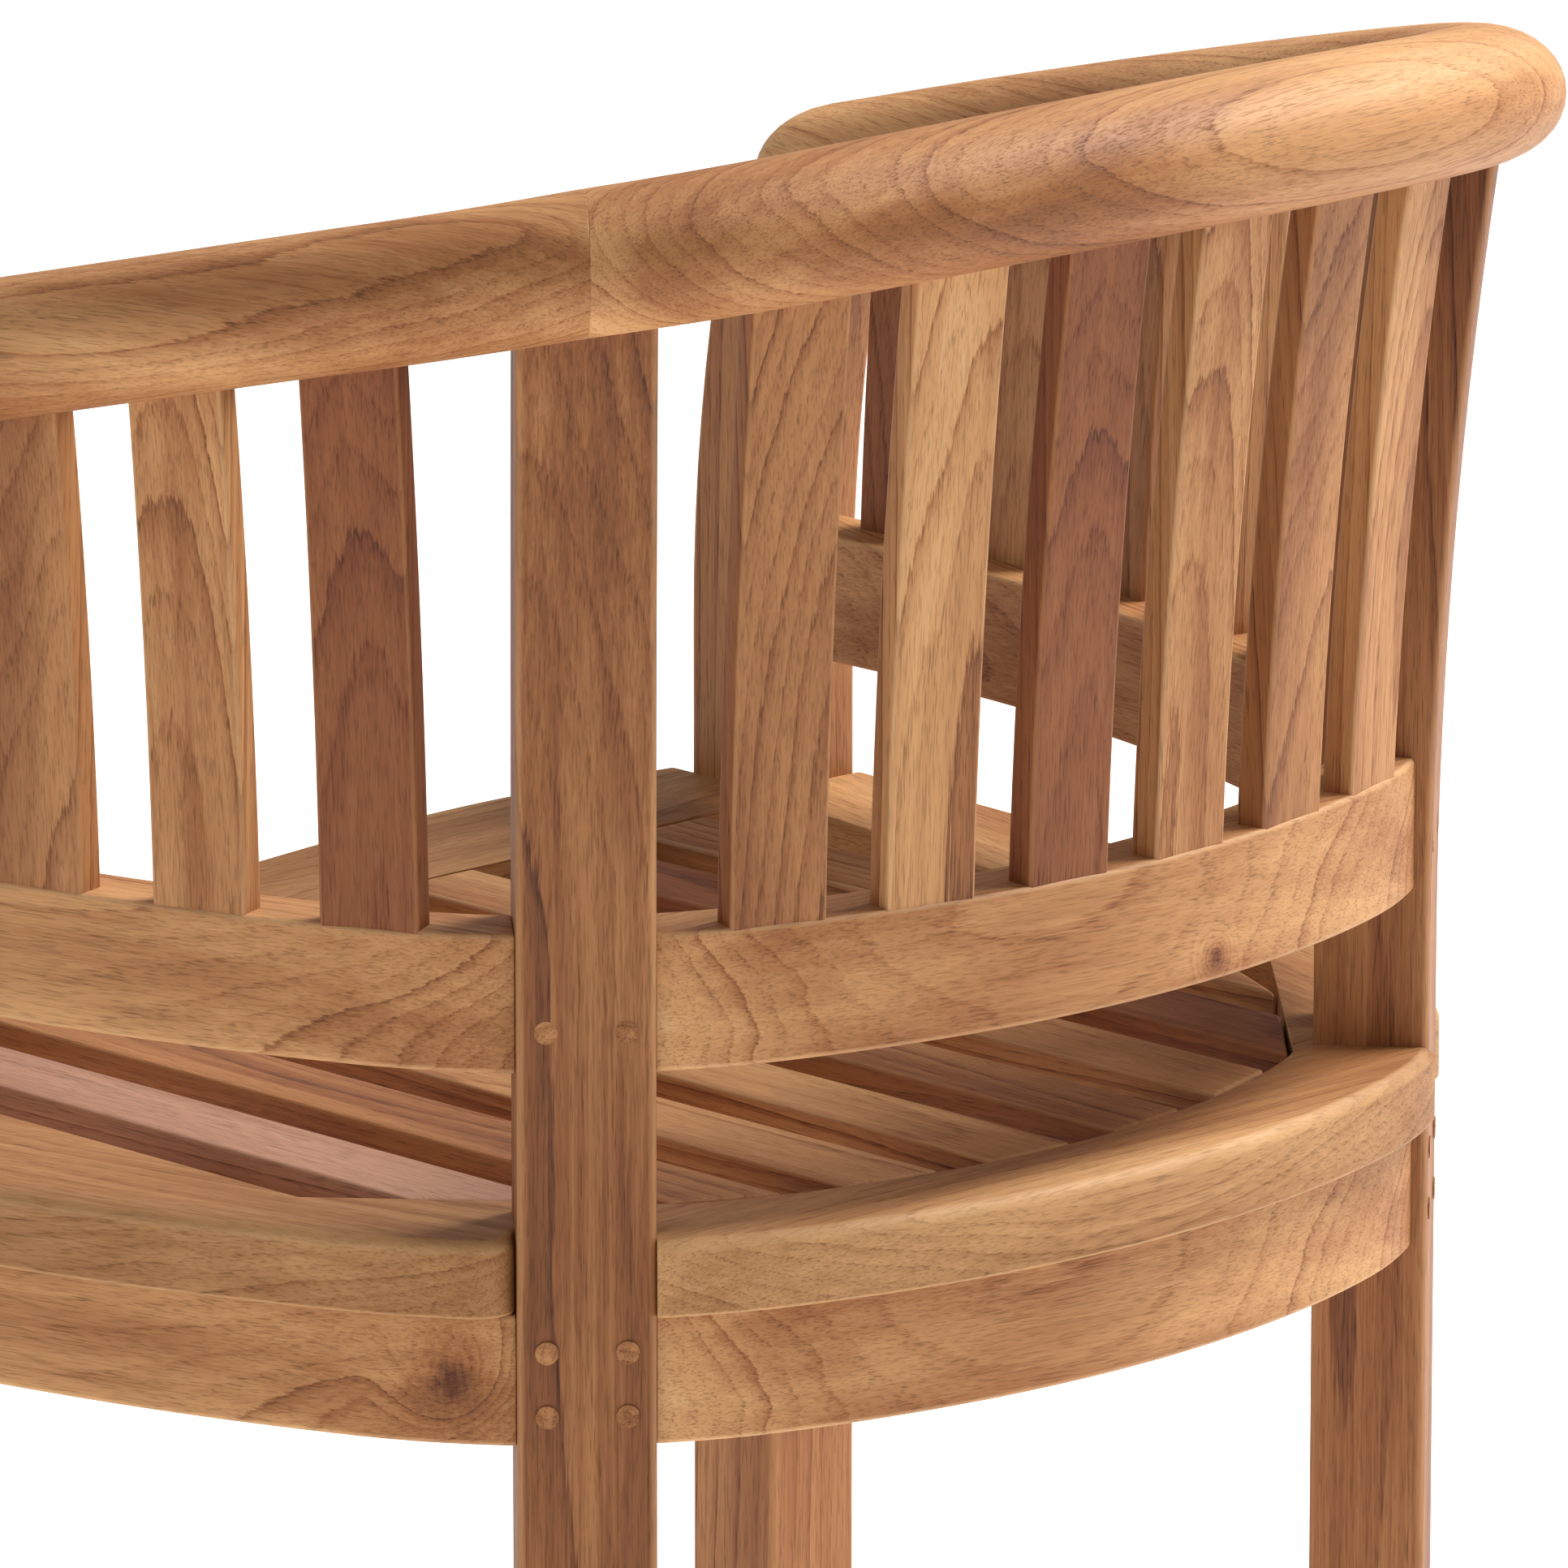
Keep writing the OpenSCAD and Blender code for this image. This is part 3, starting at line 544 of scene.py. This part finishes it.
def teak(name, middle, grain, face, heart=0.12, aside=0.0, tilt=0.0, colours=HONEY,
         rings=0.42, streaks=0.5, blush=0.9, knot=None):
    """Teak cut from a log: grain runs along the board, and the rings' outside faces towards face.

    heart is how far behind the board the middle of the tree lies, aside how far to one side, and
    tilt how much, in degrees, the rings run out through the face. A knot is a place and a size.
    """
    up = Vector(grain).normalized()
    out = (Vector(face) - Vector(face).dot(up) * up).normalized()
    up.rotate(Matrix.Rotation(math.radians(tilt), 3, out.cross(up)))
    out = (out - out.dot(up) * up).normalized()
    turned = Matrix((out, up.cross(out), up))
    shift = Vector((heart, aside, 0)) - turned @ Vector(middle)

    material = bpy.data.materials.new(name)
    material.use_nodes = True
    tree = material.node_tree
    shader = tree.nodes["Principled BSDF"]
    place = add_node(tree, "ShaderNodeTexCoord").outputs["Object"]
    cut = add_node(tree, "ShaderNodeMapping", {
        "Vector": place, "Rotation": turned.to_euler(), "Location": shift,
    }).outputs["Vector"]
    figure = add_node(tree, "ShaderNodeGroup", node_tree=TEAK_FIGURE)
    tree.links.new(cut, figure.inputs["Place"])
    for key, value in (("Rings", rings), ("Streaks", streaks), ("Blush", blush)):
        figure.inputs[key].default_value = value
    tone = figure.outputs["Tone"]
    if knot:
        heart_place, reach = knot
        offset = vector_maths(tree, "SUBTRACT", place, heart_place)
        away = add_node(tree, "ShaderNodeVectorMath", {0: offset}, operation="LENGTH").outputs["Value"]
        away = maths(tree, "DIVIDE", away, reach)
        swirl = maths(tree, "POWER", maths(tree, "MAXIMUM", maths(tree, "SUBTRACT", 1.0, away), 0.0), 1.5)
        tree.links.new(swirl, figure.inputs["Knot"])
        torn = stretched_noise(tree, place, 500, 160, 2.0)
        edge = maths(tree, "MULTIPLY_ADD", torn, 0.3, away)
        core = ramp(tree, edge, [(0.22, 1.0), (0.42, 0.35), (0.75, 0.0)])
        tone = maths(tree, "MULTIPLY_ADD", core, -0.5, tone)
    stops = list(zip((0.0, 0.36, 0.66, 1.0), colours))
    colour = ramp(tree, tone, stops)
    dark = maths(tree, "MULTIPLY_ADD", figure.outputs["Pores"], -0.38, 1.0)
    colour = vector_maths(tree, "MULTIPLY", colour, dark)
    # Painted highlight: the middles of eased edges are mixed toward the palest colour, as the sheen a
    # rounded edge catches.
    painted_highlight = add_node(tree, "ShaderNodeAttribute", attribute_name="painted_highlight").outputs["Fac"]
    paler = add_node(tree, "ShaderNodeMix", {
        "Factor": maths(tree, "MULTIPLY", painted_highlight, 0.3), "A": colour, "B": (*colours[3], 1),
    }, data_type="RGBA")
    tree.links.new(paler.outputs["Result"], shader.inputs["Base Color"])
    roughness = maths(tree, "MULTIPLY_ADD", figure.outputs["Height"], -0.22, 0.66)
    tree.links.new(roughness, shader.inputs["Roughness"])
    shader.inputs["Specular IOR Level"].default_value = 0.32
    bump = add_node(tree, "ShaderNodeBump", {
        "Height": figure.outputs["Height"], "Strength": 0.35, "Distance": 0.0004,
    })
    tree.links.new(bump.outputs["Normal"], shader.inputs["Normal"])
    return material


def finish_piece(bm, node, material):
    """Makes a mesh object of bm that stands for the CAD node of the same name."""
    mesh = bpy.data.meshes.new(node + "_wood")
    bm.to_mesh(mesh)
    bm.free()
    mesh.shade_smooth()
    mesh.set_sharp_from_angle(angle=math.radians(50))
    piece = bpy.data.objects.new(node + "_wood", mesh)
    bpy.context.scene.collection.objects.link(piece)
    piece.data.materials.append(material)
    shading = piece.modifiers.new("even_shading", "WEIGHTED_NORMAL")
    shading.keep_sharp = True
    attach(piece, "root")
    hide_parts(node)
    return piece


def box_middle(node):
    low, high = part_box(node)
    return [(a + b) / 2 for a, b in zip(low, high)]


print("boards may be", len((HONEY, BROWN, RED, PURPLE, TAN)), "kinds of brown")

# %% [markdown]
# ## The legs
#
# A back leg stands square to the curve, and its face is a few millimetres proud of the rails. Above
# the seat it leans out, so it was sawn as a curve out of a thicker plank. It is drawn as rectangles
# stacked from the ground up, each moved out by the lean, and its top ends inside the top rail. The
# front legs are made the same way, but they lean back.

# %% Four legs
LEAN_OUT = 0.020
LEAN_START = SEAT_TOP + 0.030
POST_LEAN_START = SEAT_TOP + 0.060
LEG_EASE = 0.0028
IN_RAIL = 0.012
LEAN_STEP = 0.02


def lean(z):
    """How far the slats and back legs have leant out at a height."""
    rise = max(0.0, z - LEAN_START) / (SEAT_TOP + UNDERSIDE_AT_LEG - LEAN_START)
    return LEAN_OUT * rise**2


def post_lean(z):
    """How far a front leg has leant back at a height."""
    rise = max(0.0, z - POST_LEAN_START) / (rail_underside(POST_S) - POST_LEAN_START)
    return POST_LEAN * rise**2


def leaning_post(s, off, width, depth, bottom, top):
    """An upright on the plan curve that leans out of the seat."""
    rings = []
    for z in [bottom] + share_out(max(bottom + LEAN_STEP, LEAN_START), top, LEAN_STEP):
        out = lean(z)
        corners = [(-width / 2, out), (width / 2, out), (width / 2, out - depth), (-width / 2, out - depth)]
        rings.append([on_plan(s, off, across, depth_out, z) for across, depth_out in corners])
    return loft(rings)


def front_leg(side):
    rings = []
    top = rail_underside(POST_S) + IN_RAIL
    for z in [0.0] + share_out(POST_LEAN_START, top, LEAN_STEP):
        front = POST_FRONT + post_lean(z)
        x = side * POST_X
        half = POST_W / 2
        back = front + POST_W
        rings.append([(x - half, front, z), (x + half, front, z), (x + half, back, z), (x - half, back, z)])
    return loft(rings)


for word, side in (("right", 1), ("left", -1)):
    back = leaning_post(side * LEG_S, LEG_PROUD, LEG_W, LEG_D, 0.0, SEAT_TOP + UNDERSIDE_AT_LEG + IN_RAIL)
    ease(back, LEG_EASE)
    node = "back_leg_" + word
    angle = turn(side * LEG_S)
    facing = (math.sin(angle + 0.5 * side), math.cos(angle + 0.5 * side), 0)
    wood = teak(node + "_teak", box_middle(node), (0, 0, 1), facing, heart=0.055, aside=0.045, tilt=0.15,
                colours=BROWN, rings=0.45, streaks=0.8, blush=0.9)
    finish_piece(back, node, wood)

    front = front_leg(side)
    ease(front, LEG_EASE)
    node = "front_leg_" + word
    wood = teak(node + "_teak", box_middle(node), (0, 0, 1), (side, 0.6, 0), heart=0.09, aside=-0.03,
                tilt=-0.8, colours=BROWN, rings=0.4)
    finish_piece(front, node, wood)
print("legs: 4")

# %% [markdown]
# ## The lower rails and the aprons
#
# Each is a curved board, sawn from a straight plank with its grain along the chord, and tenoned
# into the legs. They are drawn along the plan curve right past the legs, eased, and then cut off at
# the legs' sides, where their shoulders meet the legs.

# %% Curved boards between the legs
RAIL_THICK = 0.030
APRON_THICK = 0.022
BOARD_EASE = 0.0022
CURVE_STEP = 0.010


def band(first, last, outer, inner, bottom, top):
    """A board round the plan curve, between two distances from it. Its corner 1 is the outer top."""
    rings = []
    for s in share_out(first, last, CURVE_STEP):
        out, back = plan(s, outer), plan(s, inner)
        rings.append([
            (out.x, out.y, bottom), (out.x, out.y, top),
            (back.x, back.y, top), (back.x, back.y, bottom),
        ])
    return loft(rings)


def back_board(outer, inner, bottom, top):
    bm = band(-LEG_S, LEG_S, outer, inner, bottom, top)
    for number in range(4):
        ease(bm, BOARD_EASE, long_edges(bm, number))
    for side in (-1, 1):
        trim_at_leg(bm, side, -1)
    return bm


def side_board(side, outer, inner, bottom, top):
    bm = band(side * LEG_S, side * POST_S, outer, inner, bottom, top)
    for number in range(4):
        ease(bm, BOARD_EASE, long_edges(bm, number))
    trim_at_leg(bm, side, 1)
    trim(bm, (0, POST_FRONT + POST_W, 0), (0, -1, 0))
    return bm


def chord(side):
    """The direction of an arm's plank, from the back leg to the front leg."""
    away = plan(side * POST_S, 0) - plan(side * LEG_S, 0)
    return (away.x, away.y, 0)


def arm_facing(side, lift=0.0):
    away = Vector(chord(side)).normalized()
    return (-away.y * side, away.x * side, lift)


def knot_at(s, height, reach):
    """A knot in the outer face of a curved board."""
    place = plan(s, 0)
    return (place.x, place.y, height), reach


FRONT_APRON_IN = 0.008
RAIL_KNOT = knot_at(-0.042, RAIL_BOTTOM + 0.008, 0.016)
APRON_KNOT = knot_at(LEG_S + 0.046, APRON_BOTTOM + 0.023, 0.034)
for part, thick, bottom, top, back_knot, right_knot in (
    ("lower_rail", RAIL_THICK, RAIL_BOTTOM, RAIL_TOP, RAIL_KNOT, None),
    ("apron", APRON_THICK, APRON_BOTTOM, RIM_BOTTOM, None, APRON_KNOT),
):
    node = part + "_back"
    wood = teak(node + "_teak", box_middle(node), (1, -0.06, 0.02), (0.1, 1, 0.25), heart=0.16,
                colours=HONEY, rings=0.3, streaks=0.45, blush=1.1, knot=back_knot)
    finish_piece(back_board(0, -thick, bottom, top), node, wood)
    for word, side in (("right", 1), ("left", -1)):
        node = f"{part}_{word}"
        wood = teak(node + "_teak", box_middle(node), chord(side), arm_facing(side, 0.3), heart=0.12,
                    aside=0.02, colours=HONEY, rings=0.34, streaks=0.5, blush=1.0,
                    knot=right_knot if side > 0 else None)
        finish_piece(side_board(side, 0, -thick, bottom, top), node, wood)

half = POST_X - POST_W / 2
front = POST_FRONT + FRONT_APRON_IN
back = front + APRON_THICK
ends = [
    [(x, front, APRON_BOTTOM), (x, front, RIM_BOTTOM), (x, back, RIM_BOTTOM), (x, back, APRON_BOTTOM)]
    for x in (-half, half)
]
front_apron = loft(ends)
ease(front_apron, SHOULDER_EASE, segments=2)
wood = teak("apron_front_teak", box_middle("apron_front"), (1, 0, 0), (0, -1, 0.2), heart=0.1, tilt=1.0)
finish_piece(front_apron, "apron_front", wood)
print("rails: 3, aprons: 4")

# %% [markdown]
# ## The rim of the seat
#
# The rim is four flat boards round the slats. It stands out past the aprons, more and more towards
# the front. Two boards meet on a line that runs in from each back leg, which stands in a notch in
# both of them. Each board is an outline seen from above, extruded, with the points of its outer edge
# numbered so that the bevel can find them: that edge is rounded most, because legs rest on it.

# %% The rim's boards
RIM_PROUD = 0.008
RIM_FLARE = 0.0185
FLARE_POWER = 1.6
RIM_WIDTH = 0.0415
RIM_SWELL = 0.009
RIM_STRAIGHT = 0.8
RIM_CORNER = 0.015
RIM_ROUND = 0.005
RIM_EASE = 0.0015
RIM_CORNER_IN = 0.166
OPENING_BACK_X = 0.237
OPENING_FRONT_X = {1: 0.237, -1: 0.281}
FRONT_OVER = 0.023
FRONT_WAVE = 0.017
FRONT_RIM_W = 0.060
BULGE_X = 0.190
POST_BACK = POST_FRONT + POST_W
POST_SIDE = POST_X - POST_W / 2
RIM_FRONT_INNER = POST_FRONT - FRONT_OVER + FRONT_WAVE + FRONT_RIM_W
OPENING_CORNER_Y = BACK_Y - RIM_CORNER_IN


def rim_outer(s):
    share = max(0.0, (abs(s) - LEG_S) / (POST_S - LEG_S))
    return RIM_PROUD + RIM_FLARE * share**FLARE_POWER


def rim_inner(s):
    return RIM_PROUD - RIM_WIDTH - RIM_SWELL * (s / LEG_S) ** 2


def front_edge(x):
    """The front rim's wavy front edge: hollow in the middle, with a soft bulge on each side."""
    return POST_FRONT - FRONT_OVER + FRONT_WAVE * (1 + math.cos(math.pi * x / BULGE_X)) / 2


def rim_end_in(s):
    """How far a side rim's outer edge draws in next to its back leg, as a quarter circle."""
    left = max(0.0, RIM_CORNER - max(0.0, abs(s) - LEG_S - LEG_W / 2))
    return RIM_CORNER - math.sqrt(RIM_CORNER**2 - left**2)


def past_leg(points, side):
    """Starts a side rim's outline where it comes out from behind its back leg."""
    angle = turn(side * LEG_S)
    along = Vector((math.cos(angle), -math.sin(angle))) * side
    past = [(point - plan(side * LEG_S, 0)).dot(along) - LEG_W / 2 for point in points]
    first = next(i for i, value in enumerate(past) if value > 0)
    share = past[first - 1] / (past[first - 1] - past[first])
    return [points[first - 1].lerp(points[first], share)] + points[first:]


def notch(side, towards):
    """The notch for a back leg: from the leg's side round its inner corner to the joint line."""
    back = LEG_PROUD - LEG_D
    corner = at_leg(side, side * towards * LEG_W / 2, back)
    return [corner.xy, at_leg(side, 0, back).xy]


def joint_end(side):
    """Where the line on which two boards meet comes out at the opening."""
    bend = RIM_STRAIGHT * LEG_S
    corner = Vector((side * OPENING_BACK_X, OPENING_CORNER_Y))
    joint_start = plan(side * LEG_S, 0)
    joint_stop = plan(side * LEG_S, -BEND_RADIUS / 2)
    return intersect_line_line_2d(plan(side * bend, rim_inner(bend)), corner, joint_start, joint_stop)


def rim_board(outline, inner):
    """A board whose first points, the outline, are its rounded outer edge."""
    points = list(outline) + list(inner)
    numbers = [1] * len(outline) + [0] * len(inner)
    bm = board(points, numbers, RIM_BOTTOM, SEAT_TOP)
    ease(bm, RIM_ROUND, long_edges(bm, 1, SEAT_TOP), segments=5)
    ease(bm, RIM_EASE, long_edges(bm, 1, RIM_BOTTOM))
    ease(bm, SHOULDER_EASE, long_edges(bm, 0, SEAT_TOP), segments=2)
    return bm


back_end = LEG_S - BEND_RADIUS * math.asin(LEG_W / 2 / (BEND_RADIUS + RIM_PROUD))
outline = [plan(s, RIM_PROUD) for s in share_out(-back_end, back_end, CURVE_STEP)]
inner = notch(1, -1) + [joint_end(1)]
inner += [plan(s, rim_inner(s)) for s in share_out(RIM_STRAIGHT * LEG_S, -RIM_STRAIGHT * LEG_S, CURVE_STEP)]
inner += [joint_end(-1)] + notch(-1, -1)[::-1]
wood = teak("rim_back_teak", box_middle("rim_back"), (1, 0.03, 0), (0.0, 0.5, 1), heart=0.1, tilt=0.8,
            colours=TAN, rings=0.26, blush=1.1)
finish_piece(rim_board(outline, inner), "rim_back", wood)

CORNER_STEP = 0.0015
for word, side in (("right", 1), ("left", -1)):
    corner_end = LEG_S + LEG_W / 2 + RIM_CORNER
    stations = share_out(LEG_S + LEG_W / 2, corner_end, CORNER_STEP)
    stations += share_out(corner_end, POST_S - POST_W / 2, CURVE_STEP)[1:]
    outline = past_leg([plan(side * s, rim_outer(s) - rim_end_in(s)) for s in stations], side)
    inner = [
        Vector((side * POST_SIDE, POST_BACK)),
        Vector((side * POST_SIDE, RIM_FRONT_INNER)),
        Vector((side * OPENING_FRONT_X[side], RIM_FRONT_INNER)),
        Vector((side * OPENING_BACK_X, OPENING_CORNER_Y)),
        joint_end(side),
    ] + notch(side, 1)[::-1]
    node = "rim_" + word
    wood = teak(node + "_teak", box_middle(node), chord(side), (side * 0.3, 0.1, 1), heart=0.09, tilt=1.0,
                colours=TAN, rings=0.26, blush=0.8)
    finish_piece(rim_board(outline, inner), node, wood)

outline = [Vector((x, front_edge(x))) for x in share_out(-POST_SIDE, POST_SIDE, CURVE_STEP)]
inner = [Vector((POST_SIDE, RIM_FRONT_INNER)), Vector((-POST_SIDE, RIM_FRONT_INNER))]
wood = teak("rim_front_teak", box_middle("rim_front"), (1, 0, 0), (0, -0.3, 1), heart=0.1, tilt=1.2,
            colours=TAN)
finish_piece(rim_board(outline, inner), "rim_front", wood)
print("rim boards: 4")

# %% [markdown]
# ## The seat slats
#
# Eight straight boards run from front to back inside the rim. Their hind ends are cut to the curve
# of the back. Each is a short loft, front to back, whose last section is slanted to fit the rim.

# %% Eight slats for the seat
SLAT_GAP = 0.001
SEAT_SLATS = 8
SEAT_EASE = 0.002
SEAT_COLOURS = [PURPLE, BROWN, HONEY, HONEY, BROWN, HONEY, RED, HONEY]


def opening_back(x):
    """How far back the opening inside the rim reaches at x."""
    bend = RIM_STRAIGHT * LEG_S
    reach = plan(bend, rim_inner(bend) - SLAT_GAP)
    side = 1 if x > 0 else -1
    x = abs(x)
    corner = Vector((OPENING_BACK_X - SLAT_GAP, OPENING_CORNER_Y))
    front = Vector((OPENING_FRONT_X[side] - SLAT_GAP, RIM_FRONT_INNER))
    if x > corner.x:
        return corner.y + (front.y - corner.y) * (x - corner.x) / max(front.x - corner.x, SLAT_GAP)
    if x > reach.x:
        return reach.y + (corner.y - reach.y) * (x - reach.x) / (corner.x - reach.x)
    near, far = 0.0, bend
    while far - near > 1e-5:
        s = (near + far) / 2
        if plan(s, rim_inner(s) - SLAT_GAP).x < x:
            near = s
        else:
            far = s
    return plan(near, rim_inner(near) - SLAT_GAP).y


for number in range(1, SEAT_SLATS + 1):
    node = f"seat_slat_{number}"
    low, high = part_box(node)
    left, right = opening_back(low[0]), opening_back(high[0])
    rings = []
    for share in (0.0, 0.35, 0.7, 1.0):
        y_left = low[1] + (left - low[1]) * share
        y_right = low[1] + (right - low[1]) * share
        rings.append([
            (low[0], y_left, RIM_BOTTOM), (low[0], y_left, SEAT_TOP),
            (high[0], y_right, SEAT_TOP), (high[0], y_right, RIM_BOTTOM),
        ])
    bm = loft(rings)
    ease(bm, SEAT_EASE)
    wood = teak(node + "_teak", box_middle(node), (0.01 * (number % 3 - 1), 1, 0), (0.2, 0, 1),
                heart=0.05 + 0.02 * (number % 4), aside=0.03 * (number % 3 - 1), tilt=0.6 * (number % 5 - 2),
                colours=SEAT_COLOURS[number - 1])
    finish_piece(bm, node, wood)
print("seat slats:", SEAT_SLATS)

# %% [markdown]
# ## The upright slats
#
# Eighteen thin slats fill the back and arms. Each stands square to the curve at its own place, leans
# out with the legs, and is housed in the lower rail and the top rail. They are sawn one by one from
# odd lengths, so their colours and arches differ most of all.

# %% Upright slats
SLAT_W = 0.036
SLAT_THICK = 0.012
SLAT_INSET = 0.0025
SLAT_EASE = 0.0016
SLAT_IN = 0.006
BACK_SLATS = 6
BACK_PITCH = 0.059
ARM_SLATS = 6
ARM_START = 0.075
ARM_PITCH = (POST_S - LEG_S - 2 * ARM_START) / (ARM_SLATS - 1)
SLAT_COLOURS = [BROWN, HONEY, RED, HONEY, BROWN, HONEY]


def upright_slat(node, s, number):
    bm = leaning_post(s, -SLAT_INSET, SLAT_W, SLAT_THICK, RAIL_TOP - SLAT_IN, rail_underside(s) + SLAT_IN)
    ease(bm, SLAT_EASE)
    angle = turn(s)
    wood = teak(node + "_teak", box_middle(node), (0, 0, 1), (math.sin(angle), math.cos(angle), 0),
                heart=0.03 + 0.017 * (number * 2 % 5), aside=0.012 * (number % 4 - 1.5),
                tilt=2.2 - 1.3 * (number * 3 % 4), colours=SLAT_COLOURS[number % 6], rings=0.42)
    finish_piece(bm, node, wood)


for i in range(BACK_SLATS):
    upright_slat(f"back_slat_{i + 1}", -(i - (BACK_SLATS - 1) / 2) * BACK_PITCH, i)
for i in range(ARM_SLATS):
    s = LEG_S + ARM_START + i * ARM_PITCH
    upright_slat(f"right_arm_slat_{i + 1}", s, i + 2)
    upright_slat(f"left_arm_slat_{i + 1}", -s, i + 3)
print("upright slats:", BACK_SLATS + 2 * ARM_SLATS)

# %% [markdown]
# ## The top rail
#
# The rail that hands and arms rest on is the piece with the most work in it: an oval section that
# follows the plan curve, falls towards the front, and ends in a soft rounded nose over each front
# leg. It is three pieces, joined over the back legs. The section is worked out from the formula of
# an ellipse, made a little fuller, and lofted along the curve; at the nose the sections shrink as a
# quarter circle does.

# %% Crest and arms
RAIL_W = 0.064
ARM_END_W = 0.060
RAIL_OVER = 0.0475
NOSE_RADIUS = 0.028
NOSE_FLATNESS = 0.6
FULLNESS = 2 / 2.1
SECTION_SIDES = 36
JOINT_LINE = 0.0006


def soft(value):
    """Makes an ellipse's sine or cosine a little fuller."""
    return math.copysign(abs(value) ** FULLNESS, value)


def rail_section(s, inset=0.0):
    share = max(0.0, (abs(s) - LEG_S) / (ARM_END_S - LEG_S))
    full = RAIL_W + (ARM_END_W - RAIL_W) * share
    centre = RAIL_OVER - full / 2
    width = full / 2 - inset
    height = rail_height(s) / 2 - NOSE_FLATNESS * inset
    z = rail_crown(s) - rail_height(s) / 2
    ring = []
    for i in range(SECTION_SIDES):
        angle = 2 * math.pi * i / SECTION_SIDES
        place = plan(s, centre + width * soft(math.cos(angle)))
        ring.append((place.x, place.y, z + height * soft(math.sin(angle))))
    return ring


def nose_inset(left):
    """How much smaller a section is when only this much of the arm is left."""
    if left >= NOSE_RADIUS:
        return 0.0
    return NOSE_RADIUS - math.sqrt(NOSE_RADIUS**2 - (NOSE_RADIUS - left) ** 2)


joint = JOINT_LINE / 2
rings = [rail_section(-LEG_S, joint)]
rings += [rail_section(s) for s in share_out(-LEG_S + joint, LEG_S - joint, CURVE_STEP)]
rings += [rail_section(LEG_S, joint)]
wood = teak("crest_teak", box_middle("crest_rail"), (math.cos(0.17), math.sin(0.17), 0),
            (-math.sin(0.17) * 0.85, math.cos(0.17) * 0.85, 0.55), heart=0.22, colours=HONEY,
            rings=0.26, streaks=0.45, blush=1.0)
finish_piece(loft(rings), "crest_rail", wood)

for word, side in (("right", 1), ("left", -1)):
    body = share_out(LEG_S + joint, ARM_END_S - NOSE_RADIUS, CURVE_STEP)
    nose = [ARM_END_S - NOSE_RADIUS * (1 - math.sin(math.radians(a))) for a in range(10, 90, 10)]
    rings = [rail_section(side * LEG_S, joint)]
    rings += [rail_section(side * s, nose_inset(ARM_END_S - s)) for s in body + nose]
    node = "arm_rail_" + word
    wood = teak(node + "_teak", box_middle(node), chord(side), arm_facing(side, 0.8), heart=0.14,
                colours=HONEY, rings=0.3, streaks=0.5, blush=0.9)
    finish_piece(loft(rings), node, wood)
print("top rail: 3 pieces")

# %% [markdown]
# ## Pegs, ledges and screws
#
# These keep the shapes that the frame gives them, and only need a finish. The pegs, dowels and
# ledges are teak as well, cut across or along the grain. The screws are dull stainless steel with a
# fine brushed grain.

# %% Finishes for the pieces that stay as they are
def give(node, material):
    """Gives a CAD node's object one material."""
    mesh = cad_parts[node].data
    mesh.materials.clear()
    mesh.materials.append(material)


def steel():
    material = bpy.data.materials.new("dull_steel")
    material.use_nodes = True
    tree = material.node_tree
    shader = tree.nodes["Principled BSDF"]
    place = add_node(tree, "ShaderNodeTexCoord").outputs["Object"]
    grain = stretched_noise(tree, place, 900, 90, 2.0)
    tree.links.new(ramp(tree, grain, [(0.2, 0.42), (0.8, 0.62)]), shader.inputs["Base Color"])
    tree.links.new(maths(tree, "MULTIPLY_ADD", grain, 0.25, 0.25), shader.inputs["Roughness"])
    shader.inputs["Metallic"].default_value = 1.0
    return material


peg_wood = teak("peg_teak", (0, 0, 0.4), (0.7, 0.7, 0.1), (0, 0, 1), heart=0.05, colours=BROWN,
                rings=0.25, streaks=1.2)
ledge_wood = teak("ledge_teak", (0, 0, 0.4), (1, 0, 0), (0, 0.2, 1), heart=0.1, colours=BROWN, streaks=1.2)
for node in ("leg_pegs", "rim_dowels"):
    give(node, peg_wood)
for node in ("cleat_back", "cleat_front", "seat_bearer"):
    give(node, ledge_wood)
give("slat_screws", steel())
print("finished CAD nodes: 6")
